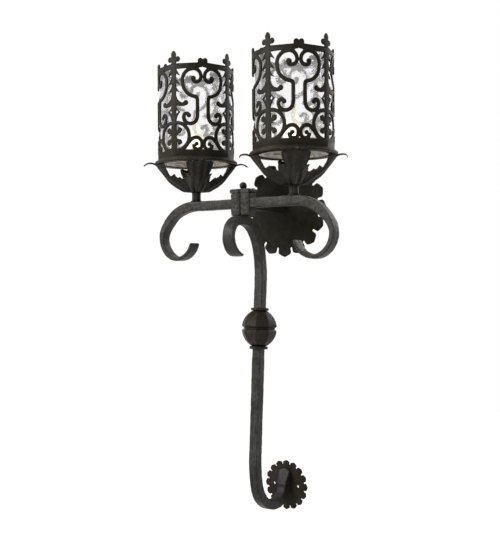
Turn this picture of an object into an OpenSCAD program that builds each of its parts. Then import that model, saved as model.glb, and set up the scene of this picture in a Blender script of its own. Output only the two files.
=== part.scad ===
// Two-light wall sconce in forged iron bar, with a pierced cage and a glass cylinder on each arm.
// Millimetres. Z is up, the wall is the plane Y = 0 and the sconce stands out towards -Y.
// The origin is the centre of the round wall plate, on the wall.

/* [Iron bar] */
// Side of the square bar of rail, arm and stem
bar = 15.9; // [15:0.1:17]
// Distance from the wall to the axis of the cross arm
arm_out = 135; // [132:1:140]
// Height of the arm's axis above the plate's centre
arm_rise = 2.5; // [1.5:0.1:3]
// Distance between the two lantern axes
lantern_spacing = 210; // [204:1:220]

/* [Arm scrolls] */
// Outer radius of the scroll's round part
scroll_r = 44.5; // [42:0.5:46]
// How much wider the scroll opens where it leaves the arm
scroll_open = 26; // [24:0.5:28]
// Straight arm past each lantern axis
arm_past = 5; // [3:0.5:8]
// Width of the flattened scroll end
scroll_end_w = 25; // [22:0.5:27]

/* [Stem] */
// Outer radius of the curl at the top
curl_r = 35.8; // [34:0.2:37]
// Width of the curl's flattened tip
curl_tip_w = 28; // [24:1:30]
// Lean of the shank away from the wall, in degrees
lean = 3.8; // [3.4:0.1:4.2]
// Length of the straight shank
shank = 321; // [312:1:330]
// Length of the flattened foot on the rosette
foot_len = 27; // [24:1:30]

/* [Ball on the stem] */
// Largest radius of the eight-sided ball, over its corners
ball_r = 32.3; // [31:0.1:34]
// Half the height of the ball's ellipse
ball_half = 34.5; // [33.5:0.1:36]
// Distance down the shank to the ball's centre
ball_down = 89; // [84:1:96]

/* [Wall plate] */
// Radius to the petal tips
plate_r = 90.5; // [89:0.5:94]
// How far the crown stands off the wall
plate_rise = 14.7; // [13.5:0.1:16]
// Thickness of the plate's sheet
plate_sheet = 2.5; // [2:0.1:3]
// Number of petals on plate and rosette
petals = 16; // [14:2:18]

/* [Mounting] */
// Spacing of the two box screws
box_spacing = 88.9; // [86:0.1:92]
// Width of the slots for the box screws
box_slot_w = 4.5; // [4:0.1:5]
// Length of the slots for the box screws
box_slot_len = 14; // [12:0.5:16]
// Radius of the rosette to its petal tips
rosette_r = 46; // [44:0.5:48]
// Thickness of the rosette
rosette_sheet = 3; // [2.8:0.1:3.4]
// Spacing of the rosette's two screw holes
rosette_spacing = 52; // [48:1:56]
// Diameter of the rosette's screw holes
rosette_hole = 4.8; // [4.4:0.1:5.4]

/* [Collar] */
// Width of the collar across the arm
collar_w = 41.4; // [39:0.2:44]
// Height of the collar
collar_h = 40; // [38:0.5:42]
// Radius of the ball on the cap
finial_r = 6.5; // [6:0.1:7]

/* [Lanterns] */
// Turn of the left lantern about its axis, in degrees
turn_left = 3.9; // [0:0.1:6]
// Turn of the right lantern about its axis, in degrees
turn_right = -4.7; // [-6:0.1:0]
// Outer radius of the cage
cage_r = 69.9; // [69.4:0.1:71]
// Thickness of the cage's sheet
cage_sheet = 2; // [1.5:0.1:2.2]
// Height of the cage from the ring to the rim
cage_h = 163.5; // [160:0.5:168]
// Height of the neck under the leaf cup
neck_h = 17.5; // [16:0.5:19]
// Height of the leaf cup
cup_h = 50.3; // [49:0.1:52]
// Outer radius of the glass
glass_r = 65; // [64:0.1:65.5]
// Wall of the glass
glass_wall = 3; // [2.5:0.1:3.5]

/* [Sockets and bulbs] */
// Outer diameter of the threaded nipples
nipple_d = 9.8; // [9.6:0.1:10]
// Outer diameter of the lamp socket
socket_d = 24; // [22:0.5:26]
// Diameter of the bulb's screw base
base_d = 11.9; // [11.7:0.1:12]
// Diameter of the bulb's glass
bulb_d = 35; // [33:0.5:37]
// Length of the bulb's glass
bulb_len = 75.5; // [72:0.5:78]

/* [Hidden] */
$fn = 64;
eps = 0.01;
iron = [0.23, 0.21, 0.19];
brass = [0.72, 0.58, 0.33];
steel = [0.6, 0.6, 0.6];
thread_fit = 0.05;
slip_fit = 0.1;

// Heights in the lantern, from the arm up
arm_top = arm_rise + bar / 2;
washer_h = 2;
cup_z = arm_top + neck_h;
cup_sheet = 2;
nut_h = 4;
ring_z = cup_z + cup_h;
ring_h = 8.2;
ledge_h = 2.2;
glass_gap = 0.3;
glass_z = ring_z + ledge_h + glass_gap;
cage_z = ring_z + ring_h;
rim_z = cage_z + cage_h;
glass_len = rim_z - 4 - glass_z;
socket_z = cup_z + 14;
socket_len = 42;
socket_top = socket_z + socket_len;
base_len = 20.5;
bulb_z = socket_top + 0.5;
base_z = bulb_z - base_len;
contact_gap = 0.3;
contact_z = base_z - 2 - contact_gap - 1.5;

// Wiring
bore_r = 4;
nipple_r = nipple_d / 2;
nipple_bore_r = 3.4;
wire_r = 1.3;
wire_offset = 1.6;
window_half = 7;
rod_r = 2.45;

// Collar and what it holds
collar_back = arm_out - bar / 2 - 1.9;
collar_bulge = 2.7;
collar_front = arm_out + bar / 2 + 1.3;
collar_z = arm_rise + 18 - collar_h;
collar_top = collar_z + collar_h;
cap_h = 7.5;
finial_z = collar_top + cap_h + 5.5;
rod_end_z = collar_z - 11.5;

// Unit vector at an angle, and the one to its left
function along(a) = [cos(a), sin(a)];
function left_of(a) = [-sin(a), cos(a)];

// Points along an arc from angle a to angle b
function arc(c, r, a, b, steps) = [for (k = [0:steps]) c + r * along(a + (b - a) * k / steps)];

// A path made of legs [radius, turn] or [0, length], as [point, heading] stations
function trail(p, a, legs, i = 0) =
    i == len(legs) ? [] :
    legs[i][0] == 0 ?
        let (q = p + legs[i][1] * along(a)) concat([[q, a]], trail(q, a, legs, i + 1)) :
        let (
            r = legs[i][0],
            turn = legs[i][1],
            side = sign(turn),
            c = p + side * r * left_of(a),
            steps = ceil(abs(turn) / 6)
        )
        concat(
            [for (k = [1:steps]) let (b = a + turn * k / steps) [c - side * r * left_of(b), b]],
            trail(c - side * r * left_of(a + turn), a + turn, legs, i + 1)
        );

// A closed skin over a row of rings with the same number of corners
module ring_skin(rings) {
    last = len(rings) - 1;
    n = len(rings[0]);
    sides = [
        for (i = [0:last - 1], k = [0:n - 1])
            let (a = n * i + k, b = n * i + (k + 1) % n)
            each [[a, b, b + n], [a, b + n, a + n]]
    ];
    ends = [
        for (k = [1:n - 2])
            each [[0, k + 1, k], [n * last, n * last + k, n * last + k + 1]]
    ];
    polyhedron(points = [for (r = rings) each r], faces = concat(sides, ends));
}

// Round rings that carry their corners along a path in space
function tube_rings(path, r, sides, i = 0, u = [1, 0, 0]) =
    i == len(path) ? [] :
    let (
        d = path[min(i + 1, len(path) - 1)] - path[max(i - 1, 0)],
        t = d / norm(d),
        across = u - (u * t) * t,
        w = across / norm(across),
        v = cross(w, t)
    )
    concat(
        [[for (k = [0:sides - 1]) path[i] + r * (cos(360 * k / sides) * w + sin(360 * k / sides) * v)]],
        tube_rings(path, r, sides, i + 1, w)
    );

// Outer edge of the arm's scroll, in polar form about the scroll's eye
round_from = 30;
open_span = 85;
scroll_end = -163;
function scroll_radius(t) = t < round_from ? scroll_r : scroll_r + scroll_open * pow((t - round_from) / open_span, 2);
function scroll_climb(t) =
    sin(t) * scroll_open * 2 * (t - round_from) / pow(open_span, 2) * 180 / PI + cos(t) * scroll_radius(t);
function level_angle(a, b, n) =
    let (m = (a + b) / 2)
    n == 0 ? m : scroll_climb(m) > 0 ? level_angle(m, b, n - 1) : level_angle(a, m, n - 1);
scroll_start = level_angle(95, 140, 24);
arm_straight = lantern_spacing / 2 + arm_past;
eye = [arm_straight, arm_top] - scroll_radius(scroll_start) * along(scroll_start);
function scroll_point(t) = eye + scroll_radius(t) * along(t);
function scroll_normal(t) =
    let (d = scroll_point(t - 0.1) - scroll_point(t + 0.1))
    [-d[1], d[0]] / norm(d);
function scroll_thick(t) =
    bar * lookup(t, [[scroll_end, 0.25], [-90, 0.41], [0, 0.53], [45, 0.82], [90, 1], [140, 1]]);
function scroll_width(t) =
    lookup(t, [
        [scroll_end, 7], [scroll_end + 2, 15], [scroll_end + 6, 0.88 * scroll_end_w],
        [scroll_end + 13, scroll_end_w], [-90, 0.92 * scroll_end_w], [0, 0.82 * scroll_end_w],
        [45, bar + 2], [90, bar]
    ]);
scroll_angles = concat(
    [for (k = [0:22]) scroll_start + (scroll_end + 13 - scroll_start) * k / 22],
    [scroll_end + 9, scroll_end + 6, scroll_end + 4, scroll_end + 2, scroll_end + 1, scroll_end]
);
function arm_ring(side, t) =
    let (
        outer = scroll_point(t),
        inner = outer - scroll_thick(t) * scroll_normal(t),
        w = scroll_width(t) / 2
    )
    [
        [side * outer[0], -arm_out - w, outer[1]],
        [side * outer[0], -arm_out + w, outer[1]],
        [side * inner[0], -arm_out + w, inner[1]],
        [side * inner[0], -arm_out - w, inner[1]]
    ];

// The stem's side view runs in the plane X = 0 as [distance from the wall, height]
curl_past = 12;
curl_eye = [arm_out + curl_past, collar_z - curl_r];
curl_tip = -85;
curl_sweep = 90 - curl_tip;
function curl_thick(a) = 0.2 * bar + 0.8 * bar * pow((a - curl_tip) / curl_sweep, 1.3);
function curl_width(a) =
    lookup(a, [
        [curl_tip, 0.3 * curl_tip_w], [curl_tip + 3, 0.75 * curl_tip_w], [curl_tip + 8, curl_tip_w],
        [0, 22], [90, bar]
    ]);
curl_angles = concat([0, 1.5, 3, 5.5, 8], [for (k = [1:28]) 8 + (curl_sweep - 8) * k / 28]);
arch_flat = 8.8;
arch_tight = 42;
arch_middle = 77;
arch_wide = 162;
arch_legs = [[0, arch_flat], [arch_tight, 45], [arch_middle, 27], [arch_wide, 18 + lean]];
foot_turn_r = 54;
foot_hook_r = 30;
bend_wide = 160;
bend_turn = 15.2;
arch_start = [curl_eye[0], collar_z - bar / 2];
arch = trail(arch_start, 180, arch_legs);
shank_top = arch[len(arch) - 1];
bend_legs = [[0, shank], [bend_wide, -lean - bend_turn], [foot_turn_r, bend_turn - 90]];
bend = trail(shank_top[0], shank_top[1], bend_legs);
low = bend[len(bend) - 1][0];
foot_run = low[0] - foot_hook_r - bar / 2 - rosette_sheet;
hook = trail(low, 180, [[0, foot_run], [foot_hook_r, -90]]);
foot_z = low[1] + foot_hook_r;
shank_axis = along(shank_top[1]);
function stem_ring(outer, inner, w) = [
    [w / 2, -outer[0], outer[1]],
    [-w / 2, -outer[0], outer[1]],
    [-w / 2, -inner[0], inner[1]],
    [w / 2, -inner[0], inner[1]]
];
function bar_ring(station) =
    let (side = left_of(station[1]) * bar / 2)
    stem_ring(station[0] - side, station[0] + side, bar);
curl_rings = [
    for (d = curl_angles)
        let (a = curl_tip + d, outer = curl_eye + curl_r * along(a))
        stem_ring(outer, outer - curl_thick(a) * along(a), curl_width(a))
];
foot_rings = [
    for (s = [[0.25, 0.85, bar + 3], [0.55, 0.62, bar + 5], [0.85, 0.4, bar + 6], [0.95, 0.32, bar + 2], [1, 0.25, 8]])
        let (z = foot_z + s[0] * foot_len)
        stem_ring([rosette_sheet + s[1] * bar, z], [rosette_sheet, z], s[2])
];
rosette_z = foot_z - 4;
foot_screw_z = foot_z + 6;
foot_screw_len = 11;
ball_at = shank_top[0] + ball_down * shank_axis;
ball_top = 0.928 * ball_half;
ball_lip = 4.5;
band_half = 1.4;
ball_washer_h = 5;
bar_hole = bar + 0.2;

// The pierced pattern is given as [distance round from a panel's middle, height above the ring]
panel_half = 54.9;
pattern_h = 163.5;
stroke_w = 5.5;
band_h = 8.5;
stretch = cage_h / pattern_h;
function flat(p) = [cage_r * sin(45 * p[0] / panel_half), cage_z + p[1] * stretch];
function path_side(path, i) =
    let (
        last = len(path) - 1,
        d = path[min(i + 1, last)] - path[max(i - 1, 0)]
    )
    [-d[1], d[0]] / norm(d);
function beside(path, w) = [for (i = [0:len(path) - 1]) path[i] + w / 2 * path_side(path, i)];
function reversed(list) = [for (i = [len(list) - 1:-1:0]) list[i]];

// Wall plate and rosette petals, as one outline
valley_r = 0.927;
corner_r = 0.9415;
petal_corner = 0.4 * 360 / petals;
module petal_outline(r) {
    pitch = 360 / petals;
    polygon([
        for (k = [0:petals - 1]) let (a = -90 + k * pitch)
            each [
                r * corner_r * along(a - petal_corner),
                r * 0.985 * along(a - petal_corner / 2),
                r * along(a),
                r * 0.985 * along(a + petal_corner / 2),
                r * corner_r * along(a + petal_corner),
                r * valley_r * along(a + pitch / 2)
            ]
    ]);
}

module slot_fan(r_bottom, r_top, mouth, eye_r) {
    for (k = [0:petals - 1])
        rotate([0, 0, -90 + (k + 0.5) * 360 / petals])
            translate([r_bottom + eye_r, 0, -1]) {
                cylinder(r = eye_r, h = 6, $fn = 20);
                translate([0, -mouth / 2, 0])
                    cube([r_top - r_bottom, mouth, 6]);
            }
}

// Turns a shape drawn flat, with its thickness up, onto the wall
module on_wall() {
    rotate([90, 0, 0])
        children();
}

module on_left() {
    translate([-lantern_spacing / 2, -arm_out, 0])
        rotate([0, 0, turn_left])
            children();
}

module on_right() {
    translate([lantern_spacing / 2, -arm_out, 0])
        rotate([0, 0, turn_right])
            children();
}

module on_shank() {
    translate([0, -ball_at[0], ball_at[1]])
        rotate([-lean, 0, 0])
            children();
}

module tube(r, bore, z, h) {
    difference() {
        translate([0, 0, z])
            cylinder(r = r, h = h);
        translate([0, 0, z - 1])
            cylinder(r = bore, h = h + 2);
    }
}

// Sheet dome that rises from the flat rim to the crown, with the petals' slots cut in the rim
rim_r = 72 / 90.5 * plate_r;
dome_rise = plate_rise - plate_sheet + 0.3;
dome_r = (pow(rim_r, 2) + pow(dome_rise, 2)) / (2 * dome_rise);
dome_centre = plate_sheet + dome_rise - dome_r;
module wall_plate() {
    color(iron)
        on_wall()
            difference() {
                union() {
                    linear_extrude(plate_sheet)
                        petal_outline(plate_r);
                    intersection() {
                        translate([0, 0, dome_centre])
                            sphere(r = dome_r, $fn = 160);
                        cylinder(r = rim_r, h = plate_rise);
                    }
                }
                translate([0, 0, dome_centre])
                    sphere(r = dome_r - plate_sheet, $fn = 160);
                slot_fan(rim_r + 1, plate_r, 6.2, 3.4);
                translate([0, 0, -1])
                    cylinder(r = nipple_r + slip_fit, h = plate_rise + 2);
            }
}

strap_len = box_spacing + box_slot_len + 8;
strap_w = 18;
strap_h = 3;
earth_x = 24;
module mounting_bar() {
    color(steel)
        on_wall()
            difference() {
                translate([-strap_len / 2, -strap_w / 2, 0])
                    cube([strap_len, strap_w, strap_h]);
                for (side = [-1, 1])
                    translate([side * box_spacing / 2, 0, -1]) {
                        for (end = [-1, 1])
                            translate([end * (box_slot_len - box_slot_w) / 2, 0, 0])
                                cylinder(d = box_slot_w, h = strap_h + 2);
                        translate([-(box_slot_len - box_slot_w) / 2, -box_slot_w / 2, 0])
                            cube([box_slot_len - box_slot_w, box_slot_w, strap_h + 2]);
                    }
                translate([0, 0, -1])
                    cylinder(r = nipple_r + thread_fit, h = strap_h + 2);
                translate([earth_x, 0, -1])
                    cylinder(r = 2 + thread_fit, h = strap_h + 2);
            }
}

module ground_screw() {
    color([0.25, 0.5, 0.3])
        on_wall()
            translate([earth_x, 0, 0]) {
                cylinder(r = 2, h = strap_h + 1);
                translate([0, 0, strap_h])
                    difference() {
                        cylinder(r = 4, h = 2.4);
                        translate([-5, -0.5, 1.6])
                            cube([10, 1, 2]);
                    }
            }
}

rail_nipple_len = plate_rise + 15;
module rail_nipple() {
    color(brass)
        on_wall()
            tube(nipple_r, nipple_bore_r, 0, rail_nipple_len);
}

module hex_nut(z) {
    difference() {
        translate([0, 0, z])
            cylinder(r = 8.1, h = nut_h, $fn = 6);
        translate([0, 0, z - 1])
            cylinder(r = nipple_r + thread_fit, h = nut_h + 2);
    }
}

module canopy_nut() {
    color(brass)
        on_wall()
            hex_nut(strap_h);
}

rail_end = arm_out - bar / 2;
module support_rail() {
    color(iron)
        on_wall()
            difference() {
                translate([-bar / 2, -bar / 2, plate_rise])
                    cube([bar, bar, rail_end - plate_rise]);
                cylinder(r = bore_r, h = rail_end + 1);
                cylinder(r = nipple_r + thread_fit, h = rail_nipple_len + 1);
            }
}

// Sleeve with two upright bulges in front, open sideways for the arm and behind for the rail
module collar() {
    bulge_r = (pow(collar_w / 4, 2) + pow(collar_bulge, 2)) / (2 * collar_bulge);
    color(iron)
        difference() {
            union() {
                translate([-collar_w / 2, -collar_front, collar_z])
                    cube([collar_w, collar_front - collar_back, collar_h]);
                for (side = [-1, 1])
                    intersection() {
                        translate([side * collar_w / 4, -collar_front - collar_bulge + bulge_r, collar_z])
                            cylinder(r = bulge_r, h = collar_h);
                        translate([side * collar_w / 4 - collar_w / 4, -collar_front - collar_bulge, collar_z])
                            cube([collar_w / 2, collar_bulge + 1, collar_h]);
                    }
            }
            translate([-collar_w, -arm_out - bar / 2 - eps, arm_rise - bar / 2 - eps])
                cube([2 * collar_w, bar + 2 * eps, bar + 2 * eps]);
            translate([-bar / 2 - eps, -arm_out, -bar / 2 - eps])
                cube([bar + 2 * eps, bar, bar + 2 * eps]);
            translate([0, -arm_out, collar_z - 1])
                cylinder(r = rod_r + slip_fit, h = collar_h + 2);
        }
}

module collar_cap() {
    depth = collar_front - collar_back + 4;
    middle = (collar_front + collar_back) / 2 + 1;
    color(iron)
        difference() {
            translate([0, -middle, collar_top])
                hull() {
                    for (side = [-1, 1])
                        translate([side * (collar_w + 3.6 - depth) / 2, 0, 0]) {
                            cylinder(d = depth - 2, h = 1, $fn = 32);
                            translate([0, 0, 1])
                                cylinder(d = depth, h = cap_h - 4, $fn = 32);
                            cylinder(d = depth - 5, h = cap_h - 1, $fn = 32);
                        }
                    cylinder(d = depth - 8, h = cap_h, $fn = 32);
                }
            translate([0, -arm_out, collar_top - 1])
                cylinder(r = rod_r + slip_fit, h = cap_h + 2);
        }
}

module finial_ball() {
    color(iron)
        translate([0, -arm_out, 0])
            difference() {
                union() {
                    intersection() {
                        translate([0, 0, finial_z])
                            sphere(r = finial_r);
                        translate([0, 0, collar_top + cap_h])
                            cylinder(r = 2 * finial_r, h = 3 * finial_r);
                    }
                    translate([0, 0, collar_top + cap_h])
                        cylinder(r = 4.2, h = finial_z - collar_top - cap_h);
                }
                translate([0, 0, collar_top])
                    cylinder(r = rod_r + thread_fit, h = finial_z + 3 - collar_top);
            }
}

module collar_rod() {
    color(steel)
        translate([0, -arm_out, rod_end_z])
            cylinder(r = rod_r, h = finial_z + 2.5 - rod_end_z);
}

// One bar from scroll end to scroll end, bored for the wires
module cross_arm() {
    bore_half = lantern_spacing / 2 + 6;
    color(iron)
        difference() {
            ring_skin(concat(
                [for (k = [len(scroll_angles) - 1:-1:0]) arm_ring(-1, scroll_angles[k])],
                [for (t = scroll_angles) arm_ring(1, t)]
            ));
            translate([-bore_half, -arm_out, arm_rise])
                rotate([0, 90, 0])
                    cylinder(r = bore_r, h = 2 * bore_half);
            for (side = [-1, 1])
                translate([side * lantern_spacing / 2, -arm_out, arm_rise])
                    cylinder(r = nipple_r + thread_fit, h = bar);
            translate([-window_half, -arm_out - bore_r, arm_rise - bore_r - 2])
                cube([2 * window_half, bar, 2 * bore_r + 2]);
            translate([0, -arm_out, arm_rise - bar])
                cylinder(r = rod_r + slip_fit, h = 2 * bar);
        }
}

module stem() {
    color(iron)
        difference() {
            ring_skin(concat(
                curl_rings,
                [for (s = arch) bar_ring(s)],
                [for (s = bend) bar_ring(s)],
                [for (s = hook) bar_ring(s)],
                foot_rings
            ));
            translate([0, -arm_out, rod_end_z - 0.5])
                cylinder(r = rod_r + thread_fit, h = collar_z - rod_end_z + 1);
            translate([0, 0, foot_screw_z])
                on_wall()
                    cylinder(r = 2.5 + thread_fit, h = foot_screw_len + 0.5);
        }
}

// Half of the eight-sided ball, from the lip beside the band to the flat top
module ball_half_shell() {
    lip_a = asin(ball_lip / ball_half);
    top_a = asin(ball_top / ball_half);
    outline = concat(
        [[0, band_half], [0.87 * ball_r, band_half], [0.93 * ball_r, band_half + 0.4]],
        [for (k = [0:8]) let (a = lip_a + (top_a - lip_a) * k / 8) [ball_r * cos(a), ball_half * sin(a)]],
        [[0, ball_top]]
    );
    difference() {
        rotate([0, 0, 22.5])
            rotate_extrude($fn = 8)
                polygon(outline);
        translate([-bar_hole / 2, -bar_hole / 2, 0])
            cube([bar_hole, bar_hole, ball_half + 1]);
    }
}

module ball_upper() {
    color(iron)
        on_shank()
            ball_half_shell();
}

module ball_lower() {
    color(iron)
        on_shank()
            mirror([0, 0, 1])
                ball_half_shell();
}

module ball_band() {
    color(iron)
        on_shank()
            difference() {
                rotate([0, 0, 22.5])
                    translate([0, 0, -band_half])
                        cylinder(r = 0.875 * ball_r, h = 2 * band_half, $fn = 8);
                translate([-bar_hole / 2, -bar_hole / 2, -5])
                    cube([bar_hole, bar_hole, 10]);
            }
}

module ball_washer(r) {
    difference() {
        translate([0, 0, ball_top])
            rotate_extrude()
                polygon(concat(
                    [[0, 0]],
                    arc([r - 2, 2], 2, -90, 0, 4),
                    arc([r - 2, ball_washer_h - 2], 2, 0, 90, 4),
                    [[0, ball_washer_h]]
                ));
        translate([-bar_hole / 2, -bar_hole / 2, ball_top - 1])
            cube([bar_hole, bar_hole, ball_washer_h + 2]);
    }
}

module upper_washer() {
    color(iron)
        on_shank()
            ball_washer(16);
}

module lower_washer() {
    color(iron)
        on_shank()
            mirror([0, 0, 1])
                ball_washer(16.5);
}

module rosette() {
    color(iron)
        translate([0, 0, rosette_z])
            on_wall()
                difference() {
                    linear_extrude(rosette_sheet)
                        petal_outline(rosette_r);
                    slot_fan(0.84 * rosette_r, rosette_r, 3.2, 1.6);
                    for (side = [-1, 1])
                        translate([side * rosette_spacing / 2, 0, -1])
                            cylinder(d = rosette_hole, h = rosette_sheet + 2);
                    translate([0, foot_screw_z - rosette_z, -1])
                        cylinder(r = 2.5 + slip_fit, h = rosette_sheet + 2);
                    translate([0, foot_screw_z - rosette_z, -eps])
                        cylinder(r1 = 5 + slip_fit, r2 = 2.5 + slip_fit, h = 2.5);
                }
}

module foot_screw() {
    color(steel)
        translate([0, 0, foot_screw_z])
            on_wall() {
                cylinder(r1 = 5, r2 = 2.5, h = 2.5);
                cylinder(r = 2.5, h = foot_screw_len);
            }
}

module neck_washer() {
    color(iron)
        tube(10.5, nipple_r + slip_fit, arm_top, washer_h);
}

module neck_tube() {
    color(iron)
        tube(8.2, nipple_r + slip_fit, arm_top + washer_h, neck_h - washer_h);
}

module nipple() {
    color(brass)
        tube(nipple_r, nipple_bore_r, arm_rise + bore_r + 0.1, socket_z + 6 - arm_rise - bore_r);
}

// Forged cup of four broad leaves on the diagonals, each ending in a thin tendril
leaf_line = [[8, 0], [21, 2.7], [30, 7.2], [39, 12.7], [48, 20], [57, 31], [66, 42.3], [71, cup_h - 1.4]];
tendril_line = [[70, -0.6], [72.5, 1.2], [76, 4.6], [80, 6.8], [85, 7], [90, 5], [94.5, 0.6]];
lobe_line = [[24, 14], [28, 22], [30, 31], [29.5, 36.5], [26.5, 38.5], [24, 36.5]];
cup_r = 47;
function thick_line(path, t) = concat(path, reversed(beside(path, 2 * t)));
module leaf_cup() {
    color(iron)
        difference() {
            union() {
                translate([0, 0, cup_z])
                    intersection() {
                        rotate_extrude()
                            polygon(concat([[0, 0]], thick_line(leaf_line, cup_sheet), [[0, cup_sheet]]));
                        translate([0, 0, -5])
                            linear_extrude(cup_h + 10)
                                union() {
                                    circle(r = cup_r);
                                    for (k = [0:3])
                                        rotate([0, 0, 45 + 90 * k])
                                            polygon([[0, -21], [45, -21], [72, -23.5], [72, 23.5], [45, 21], [0, 21]]);
                                }
                    }
                for (k = [0:3])
                    rotate([0, 0, 45 + 90 * k])
                        translate([0, 1.5, cup_z + cup_h - 2])
                            rotate([90, 0, 0])
                                linear_extrude(3)
                                    polygon(thick_line(tendril_line, -1.6));
                for (k = [0:3])
                    rotate([0, 0, 90 * k])
                        translate([0, 5, cup_z])
                            rotate([90, 0, 0])
                                linear_extrude(10)
                                    polygon(thick_line(concat([[22, 3]], lobe_line), 2));
            }
            translate([0, 0, cup_z - 1])
                cylinder(r = nipple_r + slip_fit, h = 10);
        }
}

module lock_nut() {
    color(brass)
        hex_nut(cup_z + cup_sheet);
}

module socket() {
    color([0.93, 0.9, 0.82])
        difference() {
            translate([0, 0, socket_z])
                cylinder(d = socket_d, h = socket_len);
            translate([0, 0, socket_z - 1])
                cylinder(r = nipple_r + thread_fit, h = 7);
            translate([0, 0, socket_z + 5])
                cylinder(r = 4.5, h = contact_z - 3 - socket_z - 5);
            translate([0, 0, contact_z - 4])
                cylinder(r = 1.5 + thread_fit, h = 6);
            translate([0, 0, contact_z])
                cylinder(d = base_d + 2 * slip_fit, h = socket_len);
        }
}

module socket_contact() {
    color(brass) {
        translate([0, 0, contact_z])
            cylinder(r = 3.5, h = 1.5);
        translate([0, 0, contact_z - 4])
            cylinder(r = 1.5, h = 4.5);
    }
}

module bulb_base() {
    color(brass) {
        translate([0, 0, base_z])
            cylinder(d = base_d, h = base_len);
        translate([0, 0, base_z - 2])
            cylinder(r = 2.2, h = 2 + eps);
    }
}

// Torpedo bulb: a round belly low down that draws in to a blunt tip
bulb_wall = 0.9;
function bulb_outline(inset) = [
    for (s = [[0, 0.32], [0.06, 0.5], [0.13, 0.78], [0.21, 0.94], [0.3, 1], [0.42, 0.98], [0.55, 0.87],
              [0.67, 0.69], [0.79, 0.46], [0.89, 0.27], [0.96, 0.16], [1, 0.07]])
        [s[1] * bulb_d / 2 - inset, s[0] * (bulb_len - inset)]
];
module bulb() {
    color([1, 0.95, 0.8, 0.6])
        translate([0, 0, bulb_z])
            difference() {
                rotate_extrude()
                    polygon(concat([[0, 0]], bulb_outline(0), [[0, bulb_len]]));
                rotate_extrude()
                    polygon(concat(
                        [[0, -1], [bulb_outline(bulb_wall)[0][0], -1]],
                        [for (p = bulb_outline(bulb_wall)) [max(p[0], 0.3), p[1]]],
                        [[0, bulb_len - bulb_wall]]
                    ));
            }
}

module filament() {
    color([1, 0.85, 0.5])
        translate([0, 0, bulb_z]) {
            cylinder(r = 3, h = 12);
            for (side = [-1, 1])
                translate([side * 2, 0, 0])
                    cylinder(r = 0.5, h = 30);
            translate([0, 0, 29.5])
                rotate([0, 90, 0])
                    translate([0, 0, -3])
                        cylinder(r = 0.7, h = 6);
        }
}

ring_r = 75 / 69.9 * cage_r;
module ring() {
    nose = ring_h / 2;
    color(iron)
        rotate_extrude()
            polygon(concat(
                [[glass_r - 5, ring_z], [ring_r - nose, ring_z]],
                arc([ring_r - nose, ring_z + nose], nose, -75, 75, 8),
                [
                    [ring_r - nose, cage_z], [glass_r + 1, cage_z],
                    [glass_r + 1, ring_z + ledge_h], [glass_r - 5, ring_z + ledge_h]
                ]
            ));
}

module glass() {
    color([0.95, 0.95, 0.9, 0.45])
        tube(glass_r, glass_r - glass_wall, glass_z, glass_len);
}

// Stroke of even width along a path of the pattern
module stroke(path, w = stroke_w) {
    polygon([for (p = concat(beside(path, w), reversed(beside(path, -w)))) flat(p)]);
}

// Shape of the pattern that is the same on both sides of its upright line
module even_web(rows) {
    polygon([
        for (p = concat(
            [for (s = rows) [s[1], s[0]]],
            reversed([for (s = rows) [-s[1], s[0]]])
        )) flat(p)
    ]);
}

module lobe(u, z, r) {
    translate(flat([u, z]))
        circle(r = r, $fn = 10);
}

// Upper volute, upright bar and hook, as one stroke
volute_path = concat(
    arc([-12, 134.5], 5, 180, 270, 2),
    arc([-11.6, 139], 9.6, -70, 0, 2),
    arc([-16, 139.5], 13.8, 20, 90, 2),
    arc([-16.5, 133], 20.2, 110, 180, 3),
    arc([-9, 131], 27.5, 200, 255, 3),
    [[-10, 103.6], [-8.6, 100], [-8.6, 69]],
    arc([-22, 69], 13.3, -25, -180, 5),
    arc([-29.5, 69], 5.8, 150, 50, 2)
);
// Big C from the foot of the diamond to the base band
c_path = concat([[-54, 58]], arc([-49.4, 35], 24.4, 90, -62, 6), [[-40, 7]]);
arch_path = concat(
    [[-41, 7], [-32, 16], [-26, 23.6]],
    arc([-12.8, 21.3], 11, 135, 0, 4),
    arc([-9.6, 18.1], 7.5, -20, -195, 5)
);
curl_path = concat([[-54, 42.9], [-47, 43]], arc([-44, 46.2], 3.2, -80, 30, 2));
arm_outline = [
    [-54, 113.4], [-52, 111.6], [-50.6, 106], [-48.5, 101], [-44, 96], [-38, 93.3], [-33, 94],
    [-31, 89.8], [-35, 88.2], [-43.5, 88.8], [-48, 90], [-51.5, 90.6], [-54, 88.4]
];
diamond_rows = [[93, 2.6], [86.5, 3.6], [81, 7.6], [77, 14.3], [73, 8.4], [68, 4.2], [57, 2.6]];
post_rows = [[2, 2.7], [20, 2.7], [25, 4.2], [48, 4.2], [53, 2.7], [160, 2.7]];
c_middle = 35.2;

module panel_side() {
    stroke(volute_path);
    lobe(-16.2, 135.9, 4.4);
    lobe(-25, 71, 3.8);
    stroke(c_path);
    stroke(arch_path);
    lobe(-12, 20.4, 3);
    polygon([for (p = arm_outline) flat(p)]);
    lobe(-31, 93.8, 4.1);
    for (flip = [1, -1]) {
        stroke([for (p = curl_path) [p[0], c_middle + flip * (p[1] - c_middle)]], 4);
        lobe(-42.4, c_middle + 12 * flip, 2.8);
    }
}

module panel_pattern() {
    panel_side();
    mirror([1, 0])
        panel_side();
    for (side = [-1, 1])
        hull() {
            lobe(side * 4.1, 167.2, 4);
            lobe(side * 3.5, 160, 4);
        }
}

module post_thorn(root_z, tip_z, tip_u) {
    for (side = [-1, 1])
        polygon([for (p = [[0, root_z], [2.5, root_z], [tip_u, tip_z], [2.5, tip_z + 1], [0, tip_z + 1]])
            flat([side * p[0], p[1]])]);
}

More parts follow.
